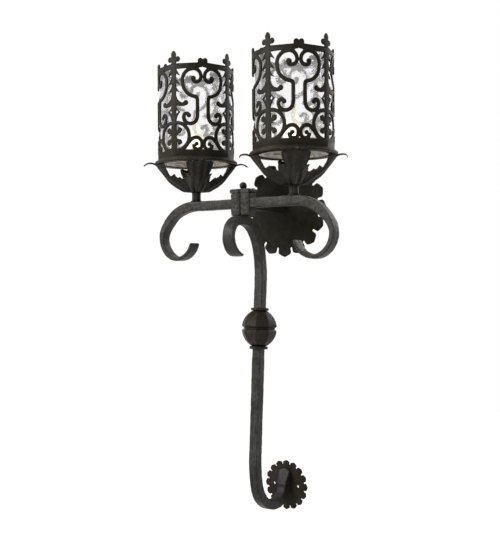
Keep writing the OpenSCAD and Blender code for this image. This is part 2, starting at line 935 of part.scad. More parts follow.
module post_pattern() {
    difference() {
        union() {
            even_web(post_rows);
            even_web(diamond_rows);
        }
        for (side = [-1, 1])
            lobe(side * 5.6, 77, 1.7);
    }
    for (t = [[153, 142.5], [141, 127.5], [127, 114.5]])
        post_thorn(t[0], t[1], 8.9);
    post_thorn(42, c_middle, 9.4);
    for (side = [-1, 1])
        hull() {
            lobe(side * 8.9, 172.3, 4.4);
            lobe(0, 167.5, 5);
        }
    hull() {
        lobe(0, 167, 6);
        lobe(0, 160, 7);
    }
    hull() {
        lobe(0, 172, 3);
        lobe(0, 182, 4.5);
    }
}

// Pushes a flat pattern out through the cage's wall
module through() {
    rotate([90, 0, 90])
        linear_extrude(cage_r + 10)
            children();
}

module cage() {
    color(iron)
        intersection() {
            difference() {
                translate([0, 0, cage_z])
                    cylinder(r = cage_r, h = 1.2 * cage_h, $fn = 40);
                translate([0, 0, cage_z - 1])
                    cylinder(r = cage_r - cage_sheet, h = 1.2 * cage_h + 2, $fn = 40);
            }
            union() {
                translate([0, 0, cage_z])
                    cylinder(r = cage_r + 5, h = band_h * stretch, $fn = 24);
                translate([0, 0, rim_z - band_h * stretch])
                    cylinder(r = cage_r + 5, h = band_h * stretch, $fn = 24);
                for (k = [0:3])
                    rotate([0, 0, 45 + 90 * k]) {
                        through()
                            panel_pattern();
                        rotate([0, 0, 45])
                            through()
                                post_pattern();
                    }
            }
        }
}

wire_bend = arm_out - 5.5;
module wire(side) {
    axis = side * lantern_spacing / 2;
    color([0.1, 0.1, 0.1])
        ring_skin(tube_rings([
            [side * wire_offset, -1, 0],
            [side * wire_offset, -wire_bend + 3, 0],
            [side * (wire_offset + 0.4), -wire_bend, 0.3],
            [side * 5, -arm_out + 1.4, arm_rise - 0.6],
            [side * 9, -arm_out, arm_rise],
            [axis - side * 4, -arm_out, arm_rise],
            [axis - side * 1.2, -arm_out, arm_rise + 1.2],
            [axis, -arm_out, arm_rise + 4],
            [axis, -arm_out, contact_z - 4]
        ], wire_r, 8));
}

wall_plate();
mounting_bar();
ground_screw();
rail_nipple();
canopy_nut();
support_rail();
collar();
collar_cap();
finial_ball();
collar_rod();
cross_arm();
stem();
ball_upper();
ball_lower();
ball_band();
upper_washer();
lower_washer();
rosette();
foot_screw();
on_left() neck_washer();  // left_neck_washer
on_left() neck_tube();  // left_neck_tube
on_left() nipple();  // left_nipple
on_left() leaf_cup();  // left_leaf_cup
on_left() lock_nut();  // left_lock_nut
on_left() socket();  // left_socket
on_left() socket_contact();  // left_socket_contact
on_left() bulb_base();  // left_bulb_base
on_left() bulb();  // left_bulb
on_left() filament();  // left_filament
on_left() ring();  // left_ring
on_left() cage();  // left_cage
on_left() glass();  // left_glass
wire(-1);  // left_wire
on_right() neck_washer();  // right_neck_washer
on_right() neck_tube();  // right_neck_tube
on_right() nipple();  // right_nipple
on_right() leaf_cup();  // right_leaf_cup
on_right() lock_nut();  // right_lock_nut
on_right() socket();  // right_socket
on_right() socket_contact();  // right_socket_contact
on_right() bulb_base();  // right_bulb_base
on_right() bulb();  // right_bulb
on_right() filament();  // right_filament
on_right() ring();  // right_ring
on_right() cage();  // right_cage
on_right() glass();  // right_glass
wire(1);  // right_wire
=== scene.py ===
import math

import bpy
from mathutils import Matrix, Vector, noise


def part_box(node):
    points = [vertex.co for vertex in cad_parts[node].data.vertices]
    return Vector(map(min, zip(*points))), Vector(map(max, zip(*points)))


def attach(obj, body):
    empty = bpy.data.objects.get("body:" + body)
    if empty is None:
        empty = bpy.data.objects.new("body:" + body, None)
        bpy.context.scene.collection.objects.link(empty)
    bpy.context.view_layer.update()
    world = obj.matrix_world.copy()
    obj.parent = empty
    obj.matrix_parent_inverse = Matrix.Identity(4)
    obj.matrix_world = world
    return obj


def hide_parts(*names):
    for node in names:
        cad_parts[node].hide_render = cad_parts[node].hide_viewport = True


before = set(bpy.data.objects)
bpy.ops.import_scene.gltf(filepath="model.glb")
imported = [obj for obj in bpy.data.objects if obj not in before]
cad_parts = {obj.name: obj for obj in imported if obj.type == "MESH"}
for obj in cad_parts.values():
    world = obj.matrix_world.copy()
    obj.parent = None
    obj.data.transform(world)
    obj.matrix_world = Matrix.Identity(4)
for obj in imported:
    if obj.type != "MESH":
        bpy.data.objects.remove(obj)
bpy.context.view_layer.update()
mm = 0.001


# Plain helpers: every piece is shaped in millimetres and turned to metres when it is finished
def selectOnly(*pieces):
    bpy.ops.object.select_all(action="DESELECT")
    for piece in pieces:
        piece.select_set(True)
    if pieces:
        bpy.context.view_layer.objects.active = pieces[0]


def called(piece, name):
    piece.name = name
    piece.data.name = name
    return piece


def boxOf(node):
    low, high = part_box(node)
    return low / mm, high / mm


def middleOf(node):
    low, high = boxOf(node)
    return (low + high) / 2


def steps(first, last, count):
    return [first + (last - first) * k / count for k in range(count + 1)]


def lookUp(x, table):
    if x <= table[0][0]:
        return table[0][1]
    for (x0, y0), (x1, y1) in zip(table, table[1:]):
        if x <= x1:
            return y0 + (y1 - y0) * (x - x0) / (x1 - x0)
    return table[-1][1]


def polar(centre, radius, degrees):
    a = math.radians(degrees)
    return (centre[0] + radius * math.cos(a), centre[1] + radius * math.sin(a))


def arcPoints(centre, radius, first, last, count):
    return [polar(centre, radius, a) for a in steps(first, last, count)]


def ringOf(sides, radiusAt, z):
    ring = []
    for k in range(sides):
        angle = 2 * math.pi * k / sides
        r = radiusAt(angle)
        ring.append(Vector((r * math.cos(angle), r * math.sin(angle), z)))
    return ring


def editAll():
    bpy.ops.object.mode_set(mode="EDIT")
    bpy.ops.mesh.select_all(action="SELECT")


# A round of edges is drawn out into a tube, then each round takes its place on the real shape
def drawOut(name, rings, closed=False):
    if closed:
        rings = rings + rings[:1]
    selectOnly()
    sides = len(rings[0])
    bpy.ops.mesh.primitive_circle_add(vertices=sides, radius=1, location=(0, 0, 0))
    piece = called(bpy.context.object, name)
    first = piece.data.vertices[0].co
    firstAngle = math.atan2(first.y, first.x)
    editAll()
    bpy.ops.mesh.extrude_repeat(steps=len(rings) - 1, offset=(0, 0, 1))
    bpy.ops.object.mode_set(mode="OBJECT")
    for v in piece.data.vertices:
        turn = (math.atan2(v.co.y, v.co.x) - firstAngle) / (2 * math.pi) * sides
        v.co = rings[round(v.co.z)][round(turn) % sides]
    editAll()
    if closed:
        bpy.ops.mesh.remove_doubles(threshold=0.001)
    else:
        bpy.ops.mesh.select_all(action="DESELECT")
        bpy.ops.mesh.select_non_manifold()
        bpy.ops.mesh.edge_face_add()
        bpy.ops.mesh.select_all(action="SELECT")
    bpy.ops.mesh.normals_make_consistent(inside=False)
    bpy.ops.object.mode_set(mode="OBJECT")
    return piece


def turned(name, profile, sides, closed=False):
    return drawOut(name, [ringOf(sides, lambda angle: r, z) for r, z in profile], closed)


# Rounded rectangle of 32 points, the section of every forged bar
def sectionPoint(j, halfWide, halfHigh, corner):
    side, step = divmod(j, 8)
    out, along = (halfWide, halfHigh) if side % 2 == 0 else (halfHigh, halfWide)
    corner = min(corner, 0.9 * halfWide, 0.9 * halfHigh)
    if step < 5:
        p = (out, (along - corner) * (step / 2 - 1))
    else:
        p = polar((out - corner, along - corner), corner, 22.5 * (step - 4))
    return [(p[0], p[1]), (-p[1], p[0]), (-p[0], -p[1]), (p[1], -p[0])][side]


# Each station is a place, the way of its width, the way of its thickness, and both sizes
def forgeBar(name, stations, corner=1.5):
    rings = []
    for place, wideWay, thickWay, wide, thick in stations:
        points = [sectionPoint(j, wide / 2, thick / 2, corner) for j in range(32)]
        rings.append([place + x * wideWay + y * thickWay for x, y in points])
    return drawOut(name, rings)


# Shallow hammer blows with the metal raised between them, and a slow drift over several blows
blowShape = {"reach": 0.7, "full": 0.49, "level": 0.55, "drift": 3.1}


def hammer(piece, look):
    s = blowShape
    blow, depth, unevenness = look["blow"], look["depth"], look["uneven"]
    mesh = piece.data
    normals = [v.normal.copy() for v in mesh.vertices]
    for v, normal in zip(mesh.vertices, normals):
        near = noise.voronoi(v.co / blow)[0][0]
        rise = depth * (min(near, s["reach"]) ** 2 / s["full"] - s["level"])
        rise += unevenness * noise.noise(v.co / (s["drift"] * blow))
        v.co += rise * normal


# The piece is kept inside the solid's box, goes to metres and takes the solid's place
def finish(piece, material, node, body="frame", smoothAngle=35):
    low, high = boxOf(node)
    for v in piece.data.vertices:
        v.co = [min(max(c, a), b) for c, a, b in zip(v.co, low, high)]
    selectOnly(piece)
    piece.data.transform(Matrix.Scale(mm, 4))
    bpy.ops.object.shade_smooth_by_angle(angle=math.radians(smoothAngle))
    piece.data.materials.clear()
    piece.data.materials.append(material)
    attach(piece, body)
    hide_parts(node)


def applyModifier(piece, kind, **settings):
    selectOnly(piece)
    modifier = piece.modifiers.new(kind.title(), kind)
    for key, value in settings.items():
        setattr(modifier, key, value)
    bpy.ops.object.modifier_apply(modifier=modifier.name)


def cutWith(piece, cutter):
    applyModifier(piece, "BOOLEAN", object=cutter, operation="DIFFERENCE", solver="EXACT")
    bpy.data.objects.remove(cutter)


# The new primitive takes its scale, place and turn into its mesh
def settled(scale=(1, 1, 1)):
    piece = bpy.context.object
    piece.scale = scale
    bpy.ops.object.transform_apply(location=True, rotation=True, scale=True)
    return piece


def copyOf(piece, name):
    twin = piece.copy()
    twin.data = piece.data.copy()
    bpy.context.scene.collection.objects.link(twin)
    return called(twin, name)


def joinAll(name, pieces):
    selectOnly(*pieces)
    bpy.ops.object.join()
    return called(pieces[0], name)


# Materials
def hexColour(text):
    parts = [int(text[k:k + 2], 16) / 255 for k in (1, 3, 5)]
    return [c / 12.92 if c <= 0.04045 else ((c + 0.055) / 1.055) ** 2.4 for c in parts] + [1]


def setStops(ramp, stops):
    for element, (position, colour) in zip(ramp.elements, (stops[0], stops[-1])):
        element.position = position
        element.color = hexColour(colour)
    for position, colour in stops[1:-1]:
        ramp.elements.new(position).color = hexColour(colour)


# A material or world gets its own function that adds one node with its settings and links
# Where a link names a node, its first output is meant
def nodeAdder(owner):
    owner.use_nodes = True
    owner.node_tree.nodes.clear()

    def add(kind, settings=None, links=None):
        node = owner.node_tree.nodes.new("ShaderNode" + kind)
        for key, value in (settings or {}).items():
            if key == "stops":
                setStops(node.color_ramp, value)
            elif isinstance(key, int) or key in node.inputs:
                node.inputs[key].default_value = value
            else:
                setattr(node, key, value)
        for key, source in (links or {}).items():
            socket = source if isinstance(source, bpy.types.NodeSocket) else source.outputs[0]
            owner.node_tree.links.new(socket, node.inputs[key])
        return node

    return add


def newMaterial(name):
    material = bpy.data.materials.new(name)
    add = nodeAdder(material)
    return material, add, add("TexCoord").outputs["Object"]


def perMetre(size):
    return 1 / (size * mm)


# Forged iron, blackened and waxed: near black brown, greyed where the hammer rubbed it, with painted shade that
# makes it darkest where it faces down
# On the stem's foot painted shade makes it darker still, between the two heights set for that shade
ironShape = {"patchDetail": 5, "patchRough": 0.65, "grainDetail": 6, "grainRough": 0.7, "blowSoft": 0.5,
             "tones": (0.42, 0.6, 0.85), "down": -0.9, "level": 0.1, "sootLow": -508, "sootHigh": -455,
             "blowDepth": 0.6, "grainDepth": 0.25, "dullBy": 0.2}


def hammeredIron(name, look):
    s = ironShape
    material, add, place = newMaterial(name)
    patches = add("TexNoise", {"Scale": perMetre(look["patchSize"]), "Detail": s["patchDetail"],
                               "Roughness": s["patchRough"]}, {"Vector": place})
    blows = add("TexVoronoi", {"feature": "SMOOTH_F1", "Scale": perMetre(look["blowSize"]),
                               "Smoothness": s["blowSoft"]}, {"Vector": place})
    mottle = add("Math", {"operation": "MULTIPLY_ADD", 1: look["mottle"]}, {0: blows, 2: patches})
    stops = list(zip(s["tones"], (look["dark"], look["mid"], look["rubbed"])))
    tone = add("ValToRGB", {"stops": stops}, {"Fac": mottle})
    # painted shade: the colour darkens the more the surface faces down, to the look's share for undersides
    facing = add("SeparateXYZ", links={"Vector": add("NewGeometry").outputs["Normal"]})
    shade = add("MapRange", {"From Min": s["down"], "From Max": s["level"], "To Min": look["under"]},
                {"Value": facing.outputs["Z"]})
    # painted shade on the stem's foot: darker towards the bottom, down to the look's foot share
    height = add("SeparateXYZ", links={"Vector": place})
    footShade = add("MapRange", {"From Min": s["sootLow"] * mm, "From Max": s["sootHigh"] * mm,
                            "To Min": look["foot"]}, {"Value": height.outputs["Z"]})
    dim = add("Math", {"operation": "MULTIPLY"}, {0: shade, 1: footShade})
    shaded = add("Mix", {"data_type": "RGBA", "blend_type": "MULTIPLY", "Factor": 1.0}, {"A": tone, "B": dim})
    grain = add("TexNoise", {"Scale": perMetre(look["grainSize"]), "Detail": s["grainDetail"],
                             "Roughness": s["grainRough"]}, {"Vector": place})
    bigBump = add("Bump", {"Strength": look["blowBump"], "Distance": s["blowDepth"] * mm}, {"Height": blows})
    fineBump = add("Bump", {"Strength": look["grainBump"], "Distance": s["grainDepth"] * mm},
                   {"Height": grain, "Normal": bigBump})
    dull = add("MapRange", {"To Min": look["shine"], "To Max": look["shine"] + s["dullBy"]}, {"Value": grain})
    iron = add("BsdfPrincipled", {"Specular IOR Level": look["specular"]},
               {"Base Color": shaded.outputs["Result"], "Roughness": dull, "Normal": fineBump})
    add("OutputMaterial", links={"Surface": iron})
    return material


# One iron finish in three copies: the bar copy is painted lighter as if lit, the sheet and cast copies painted
# darker as if shaded
barIronLitCopy = hammeredIron("hammeredBarIronLitCopy", {
    "dark": "#211d14", "mid": "#302c25", "rubbed": "#454443", "patchSize": 24, "blowSize": 6.0,
    "mottle": 0.4, "grainSize": 1.5, "blowBump": 0.8, "grainBump": 0.5, "shine": 0.36, "specular": 0.16,
    "under": 0.35, "foot": 0.5})
sheetIronShadedCopy = hammeredIron("blackenedSheetIronShadedCopy", {
    "dark": "#1c170d", "mid": "#252116", "rubbed": "#322e25", "patchSize": 30, "blowSize": 13,
    "mottle": 0.3, "grainSize": 2.2, "blowBump": 0.25, "grainBump": 0.35, "shine": 0.45, "specular": 0.12,
    "under": 0.5, "foot": 1.0})
castIronShadedCopy = hammeredIron("blackenedCastIronShadedCopy", {
    "dark": "#1c170f", "mid": "#262118", "rubbed": "#38342b", "patchSize": 18, "blowSize": 7,
    "mottle": 0.4, "grainSize": 1.8, "blowBump": 0.5, "grainBump": 0.4, "shine": 0.4, "specular": 0.14,
    "under": 0.45, "foot": 1.0})

# Hand-blown seedy glass, lit from inside: wavy, with trapped bubbles, paling what lies behind it
# It carries a painted glow for the lamp's light: warm and brighter at the lamp's height, from glowLow up to
# glowHigh, and plain white above
glassLook = {"waveSize": 12, "seedSize": 7, "smokeSize": 22, "glowLow": 85, "glowHigh": 150}


def makeSeedyGlass():
    s = glassLook
    material, add, place = newMaterial("seedyGlass")
    waves = add("TexNoise", {"Scale": perMetre(s["waveSize"]), "Detail": 3, "Roughness": 0.6},
                {"Vector": place})
    seeds = add("TexVoronoi", {"Scale": perMetre(s["seedSize"])}, {"Vector": place})
    seedShape = add("MapRange", {"From Max": 0.22, "To Min": 1.0, "To Max": 0.0}, {"Value": seeds})
    bump = add("Bump", {"Strength": 0.8, "Distance": 1.5 * mm}, {"Height": waves})
    seedBump = add("Bump", {"Strength": 0.4, "Distance": 0.4 * mm}, {"Height": seedShape, "Normal": bump})
    smoke = add("TexNoise", {"Scale": perMetre(s["smokeSize"]), "Detail": 5, "Roughness": 0.7},
                {"Vector": place})
    tint = add("ValToRGB", {"stops": [(0.34, "#f0eef1"), (0.46, "#fcfcfc"), (0.7, "#ffffff")]},
               {"Fac": smoke})
    clear = add("BsdfPrincipled", {"Roughness": 0.05, "IOR": 1.16, "Transmission Weight": 1.0},
                {"Base Color": tint, "Normal": seedBump})
    # painted glow: an emission standing in for the lamp's light in the glass, warmer and brighter low down near
    # the lamp
    height = add("SeparateXYZ", links={"Vector": place})
    upward = add("MapRange", {"From Min": s["glowLow"] * mm, "From Max": s["glowHigh"] * mm},
                 {"Value": height.outputs["Z"]})
    warmth = add("ValToRGB", {"stops": [(0.0, "#fff3df"), (0.45, "#fffaf4"), (1.0, "#f7f5f5")]},
                 {"Fac": upward})
    strength = add("MapRange", {"To Min": 1.25, "To Max": 0.92}, {"Value": upward})
    glow = add("Emission", links={"Color": warmth, "Strength": strength})
    share = add("MapRange", {"From Min": 0.35, "From Max": 0.7, "To Min": 0.05, "To Max": 0.16},
                {"Value": smoke})
    glass = add("MixShader", links={0: share, 1: clear, 2: glow})
    add("OutputMaterial", links={"Surface": glass})
    return material


# Thin clear lamp glass, hardly seen, with the wire's light on it
def makeBulbGlass():
    material, add, place = newMaterial("lampGlass")
    film = add("TexNoise", {"Scale": perMetre(12), "Detail": 2, "Roughness": 0.6}, {"Vector": place})
    rough = add("MapRange", {"To Min": 0.0, "To Max": 0.05}, {"Value": film})
    glass = add("BsdfPrincipled",
                {"Base Color": hexColour("#fffaf2"), "IOR": 1.005, "Transmission Weight": 1.0,
                 "Emission Color": hexColour("#fff0d2"), "Emission Strength": 0.3}, {"Roughness": rough})
    add("OutputMaterial", links={"Surface": glass})
    return material


# Tungsten wire at working heat: white gold, a little redder in places
def makeGlowWire():
    material, add, place = newMaterial("glowingTungsten")
    heat = add("TexNoise", {"Scale": perMetre(5), "Detail": 2, "Roughness": 0.6}, {"Vector": place})
    tone = add("ValToRGB", {"stops": [(0.3, "#ffdf9a"), (0.7, "#fff2cf")]}, {"Fac": heat})
    wire = add("BsdfPrincipled",
               {"Base Color": hexColour("#c8b090"), "Roughness": 0.4, "Emission Strength": 40.0},
               {"Emission Color": tone})
    add("OutputMaterial", links={"Surface": wire})
    return material


# Small turned, rolled or glazed parts: brass and zinc shine softly, porcelain is white and smooth, rubber is dull
def toolMetal(name, pale, deep, shine, metal=1.0):
    material, add, place = newMaterial(name)
    stain = add("TexNoise", {"Scale": perMetre(9), "Detail": 4, "Roughness": 0.6}, {"Vector": place})
    tone = add("ValToRGB", {"stops": [(0.35, deep), (0.65, pale)]}, {"Fac": stain})
    lines = add("TexWave", {"bands_direction": "Z", "Scale": perMetre(1.2), "Distortion": 0.4},
                {"Vector": place})
    bump = add("Bump", {"Strength": 0.12, "Distance": 0.1 * mm}, {"Height": lines.outputs["Fac"]})
    dull = add("MapRange", {"To Min": shine, "To Max": shine + 0.2}, {"Value": stain})
    surface = add("BsdfPrincipled", {"Metallic": metal},
                  {"Base Color": tone, "Roughness": dull, "Normal": bump})
    add("OutputMaterial", links={"Surface": surface})
    return material


seedyGlass = makeSeedyGlass()
bulbGlass = makeBulbGlass()
glowWire = makeGlowWire()
turnedBrass = toolMetal("turnedBrass", "#c9a35c", "#9a7a3f", 0.28)
zincSteel = toolMetal("zincPlatedSteel", "#b4b6b8", "#8b8f94", 0.32)
greenSteel = toolMetal("greenDyedSteel", "#3f8a55", "#2c6a40", 0.35, 0.6)
porcelain = toolMetal("glazedPorcelain", "#ece6da", "#dcd4c4", 0.2, 0.0)
leadRubber = toolMetal("rubberLead", "#1c1c1c", "#101010", 0.55, 0.0)


# Camera where the photograph was taken from, fitted to points of known size on the object
camera = {"place": (874.77, -1368.04, -118.45), "turn": 35.14, "tilt": -0.80, "roll": -0.40,
          "focal": 860.1, "wide": 500, "high": 550, "middle": (246.89, 260.07), "sensor": 36.0, "sight": 30}


def placeCamera():
    s = camera
    turn, tilt, roll = (math.radians(s[k]) for k in ("turn", "tilt", "roll"))
    forward = Vector((-math.sin(turn) * math.cos(tilt), math.cos(turn) * math.cos(tilt), -math.sin(tilt)))
    right = Vector((math.cos(turn), math.sin(turn), 0))
    up = right.cross(forward)
    rightRolled = right * math.cos(roll) + up * math.sin(roll)
    upRolled = up * math.cos(roll) - right * math.sin(roll)
    lens = bpy.data.cameras.new("viewCamera")
    lens.sensor_fit = "VERTICAL"
    lens.sensor_height = s["sensor"]
    lens.lens = s["focal"] / s["high"] * s["sensor"]
    lens.shift_x = (s["wide"] / 2 - s["middle"][0]) / s["high"]
    lens.shift_y = (s["middle"][1] - s["high"] / 2) / s["high"]
    lens.clip_end = s["sight"]
    eye = bpy.data.objects.new("viewCamera", lens)
    bpy.context.scene.collection.objects.link(eye)
    turnMatrix = Matrix((rightRolled, upRolled, -forward)).transposed()
    eye.matrix_world = Matrix.Translation(Vector(s["place"]) * mm) @ turnMatrix.to_4x4()
    bpy.context.scene.camera = eye


placeCamera()
print("camera placed")

# Main sizes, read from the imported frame
railLow, railHigh = boxOf("support_rail")
collarLow, collarHigh = boxOf("collar")
bar = railHigh.x - railLow.x
barFull = bar + 1.0
armOut = -middleOf("left_ring").y
armTop = boxOf("left_neck_washer")[0].z
armMid = armTop - bar / 2
axes = {side: middleOf(side + "_ring").x for side in ("left", "right")}
turns = {"left": 3.9, "right": -4.7}


def setOnAxis(piece, side, rise=0, turn=0):
    spin = Matrix.Rotation(math.radians(turn), 4, "Z")
    piece.data.transform(Matrix.Translation((axes[side], -armOut, rise)) @ spin)


# Cross arm: one bar with a flattened scroll at each end
# The scroll opens from roundFrom to the arm, and draws in by closeBy from closeFrom to its end
armShape = {"roundRadius": 44.5, "openBy": 26, "past": 5, "roundFrom": 30, "openSpan": 85,
            "endAngle": -161, "closeBy": 9, "closeFrom": -70,
            "thick": [(-161, 0.22), (-150, 0.28), (-90, 0.41), (0, 0.53), (45, 0.82), (90, 1)],
            "endWide": 25, "wide": [(-161, 0.8), (-159.5, 0.93), (-156, 1), (-90, 0.92), (0, 0.82)],
            "neckWider": 2, "tip": 13, "tipSteps": (11, 9, 7.5, 6, 5, 4, 3, 2, 1.2, 0.5, 0),
            "spacing": 2.4, "edge": 1.4, "blow": 8.5, "depth": 0.35, "uneven": 0.5}


def scrollAt(t):
    s = armShape
    grow = max(t - s["roundFrom"], 0) / s["openSpan"]
    shrink = max(s["closeFrom"] - t, 0) / (s["closeFrom"] - s["endAngle"])
    r = s["roundRadius"] + s["openBy"] * grow ** 2 - s["closeBy"] * shrink ** 1.3
    return Vector(polar((0, 0), r, t))


# Where the scroll's back is level, so that it runs into the arm without a step
def levelAngle():
    low, high = 95.0, 140.0
    for _ in range(40):
        middle = (low + high) / 2
        if scrollAt(middle + 0.01).y > scrollAt(middle - 0.01).y:
            low = middle
        else:
            high = middle
    return low


def armStations():
    s = armShape
    start, end = levelAngle(), s["endAngle"]
    straight = (axes["right"] - axes["left"]) / 2 + s["past"]
    eye = Vector((straight, armTop)) - scrollAt(start)
    widths = [(t, share * s["endWide"]) for t, share in s["wide"]]
    widths += [(45, barFull + s["neckWider"]), (90, barFull)]
    half = []
    for t in steps(start, end + s["tip"], 90) + [end + d for d in s["tipSteps"]]:
        way = (scrollAt(t - 0.1) - scrollAt(t + 0.1)).normalized()
        normal = Vector((-way.y, way.x))
        thick = barFull * lookUp(t, s["thick"])
        half.append((eye + scrollAt(t) - thick / 2 * normal, normal, lookUp(t, widths), thick))

    def scrollOn(side):
        return [(Vector((side * p.x, -armOut, p.y)), Vector((0, 1, 0)), Vector((side * n.x, 0, n.y)),
                 wide, thick) for p, n, wide, thick in half[::side]]

    middle = [(Vector((x, -armOut, armTop - barFull / 2)), Vector((0, 1, 0)), Vector((0, 0, 1)),
               barFull, barFull) for x in steps(-straight, straight, round(2 * straight / s["spacing"]))[1:-1]]
    return scrollOn(-1) + middle + scrollOn(1)


def makeArm():
    s = armShape
    arm = forgeBar("forged_arm", armStations(), s["edge"])
    hammer(arm, s)
    finish(arm, barIronLitCopy, "cross_arm")
    print("cross arm forged")


makeArm()


# Stem: curl at the top, arch, leaning shank, bend to the wall and flattened foot
stemShape = {"curlRadius": 35.8, "curlPast": 12, "curlTip": -85, "tipThick": 0.2, "tipWide": 28,
             "tipRound": [(0, 0.3), (3, 0.75), (8, 1)], "neckWide": 22,
             "tipSteps": [0, 0.7, 1.5, 2.2, 3, 4.2, 5.5, 6.7], "lean": 3.8, "shank": 321,
             "archFlat": 8.8, "arch": [(42, 45), (77, 27)], "archTail": 162,
             "bendRadius": 160, "bendTurn": 15.2, "elbowRadius": 54, "hookRadius": 30, "footLen": 27,
             "footThick": [(0, 1), (0.25, 0.85), (0.55, 0.62), (0.85, 0.4), (0.95, 0.32), (1, 0.25)],
             "footWider": [(0, 1), (0.25, 3), (0.55, 5), (0.85, 6), (0.95, 2)], "footEnd": 8,
             "spacing": 2.5, "edge": 1.4, "blow": 9, "depth": 0.35, "uneven": 0.5}


# Follows legs of (radius, turn), or of (0, length) where the bar runs straight
def trail(start, heading, legs, spacing):
    stations = []
    point = Vector(start)
    for radius, turn in legs:
        left = Vector(polar((0, 0), 1, heading + 90))
        if radius == 0:
            ahead = Vector(polar((0, 0), 1, heading))
            count = max(1, round(turn / spacing))
            stations += [(point + ahead * d, heading) for d in steps(0, turn, count)[1:]]
            point = point + ahead * turn
            continue
        side = 1 if turn > 0 else -1
        centre = point + side * radius * left
        count = max(2, round(math.radians(abs(turn)) * radius / spacing))
        for b in steps(heading, heading + turn, count)[1:]:
            stations.append((centre - side * radius * Vector(polar((0, 0), 1, b + 90)), b))
        heading += turn
        point = stations[-1][0]
    return stations


def stemStations():
    s = stemShape
    curlEye = Vector((armOut + s["curlPast"], collarLow.z - s["curlRadius"]))
    tip, sweep = s["curlTip"], 90 - s["curlTip"]
    widths = [(tip + d, share * s["tipWide"]) for d, share in s["tipRound"]]
    widths += [(0, s["neckWide"]), (90, barFull)]
    thin = s["tipThick"] * bar
    rows = []
    for d in s["tipSteps"] + steps(8, sweep, 46):
        thick = thin + (barFull - thin) * (d / sweep) ** 1.3
        outward = Vector(polar((0, 0), 1, tip + d))
        middle = curlEye + (s["curlRadius"] - thick / 2) * outward
        rows.append((middle, outward, lookUp(tip + d, widths), thick))
    lean = s["lean"]
    turnLeft = 90 - sum(turn for _, turn in s["arch"]) + lean
    legs = [(0, s["archFlat"]), *s["arch"], (s["archTail"], turnLeft), (0, s["shank"]),
            (s["bendRadius"], -lean - s["bendTurn"]), (s["elbowRadius"], s["bendTurn"] - 90)]
    path = trail((curlEye.x, collarLow.z - bar / 2), 180, legs, s["spacing"])
    low = path[-1][0]
    wallFace = -boxOf("rosette")[0].y
    run = low.x - s["hookRadius"] - bar / 2 - wallFace
    path += trail(low, 180, [(0, run), (s["hookRadius"], -90)], s["spacing"])
    for point, heading in path:
        rows.append((point, Vector(polar((0, 0), 1, heading - 90)), barFull, barFull))
    footZ = path[-1][0].y
    footWides = [(t, bar + more) for t, more in s["footWider"]] + [(1, s["footEnd"])]
    for share in steps(0, 1, 14)[1:]:
        thick = lookUp(share, s["footThick"]) * bar
        middle = Vector((wallFace + thick / 2, footZ + share * s["footLen"]))
        rows.append((middle, Vector((1, 0)), lookUp(share, footWides), thick))
    return [(Vector((0, -p.x, p.y)), Vector((1, 0, 0)), Vector((0, -n.x, n.y)), wide, thick)
            for p, n, wide, thick in rows]


def makeStem():
    s = stemShape
    stem = forgeBar("forged_stem", stemStations(), s["edge"])
    hammer(stem, s)
    finish(stem, barIronLitCopy, "stem")
    print("stem forged")


makeStem()


# Rail: plain square bar from the wall plate into the collar
railShape = {"spacing": 2.5, "blow": 8.5, "depth": 0.3, "uneven": 0.3}


def makeRail():
    s = railShape
    count = round((railHigh.y - railLow.y) / s["spacing"])
    rail = forgeBar("forged_rail", [(Vector((0, y, 0)), Vector((1, 0, 0)), Vector((0, 0, 1)), bar, bar)
                                    for y in steps(railLow.y, railHigh.y, count)])
    hammer(rail, s)
    # the rail takes the darker sheet copy of the iron as painted shade, for the shadow under the arm
    finish(rail, sheetIronShadedCopy, "support_rail")


makeRail()


# Collar over the crossing: two upright bulges in front, square windows for arm and rail
# Each edge and pillow is a row of heights, with the share of the outline that is left off there
collarShape = {"bulge": 3.5, "round": 1.44, "roundFrom": 0.9, "roundOver": 0.1, "front": 24, "rounds": 26,
               "edge": [(0, 0.5), (0, 0.08), (0.5, 0.03), (1.5, 0.006)], "clear": 0.15,
               "blow": 5.0, "depth": 0.6, "uneven": 0.4}
capShape = {"over": 1.6, "blow": 5, "depth": 0.25, "uneven": 0.2,
            "pillow": [(0, 0.5), (0, 0.04), (0.08, 0.01), (0.2, 0), (0.55, 0), (0.7, 0.01), (0.8, 0.035),
                       (0.88, 0.09), (0.94, 0.2), (0.98, 0.42), (0.995, 0.7), (1.0, 0.96)]}
knobShape = {"foot": [(1, 0), (5.0, 0), (4.6, 0.6)], "first": -48, "last": 88, "sides": 40,
             "blow": 4, "depth": 0.2, "uneven": 0.2}


def collarOutline(grow=0.0):
    s = collarShape
    half = (collarHigh.x - collarLow.x) / 2 + grow
    front = -collarLow.y - s["bulge"] + grow
    back = -collarHigh.y - grow
    points = []
    for k in range(2 * s["front"] + 1):
        x = half * (1 - k / s["front"])
        inHalf = abs(x) - half / 2
        rise = s["bulge"] * math.sqrt(max(1 - (2 * inHalf / half) ** 2, 0))
        corner = max(abs(x) / half - s["roundFrom"], 0) / s["roundOver"]
        points.append(Vector((x, -(front + rise - s["round"] * corner ** 2))))
    sideCount, backCount = 9, 21
    points += [Vector((-half, y)) for y in steps(-front + 2, -back - 1, sideCount)]
    points += [Vector((x, -back)) for x in steps(-half + 1, half - 1, backCount)]
    points += [Vector((half, y)) for y in steps(-back - 1, -front + 2, sideCount)]
    return points


def levelRings(outline, levels):
    middle = middleOf("collar").y
    return [[Vector((p.x * (1 - shrink), middle + (p.y - middle) * (1 - shrink), z)) for p in outline]
            for z, shrink in levels]


def cutterBox(low, high):
    selectOnly()
    bpy.ops.mesh.primitive_cube_add(size=1, location=(Vector(low) + Vector(high)) / 2)
    return settled(Vector(high) - Vector(low))


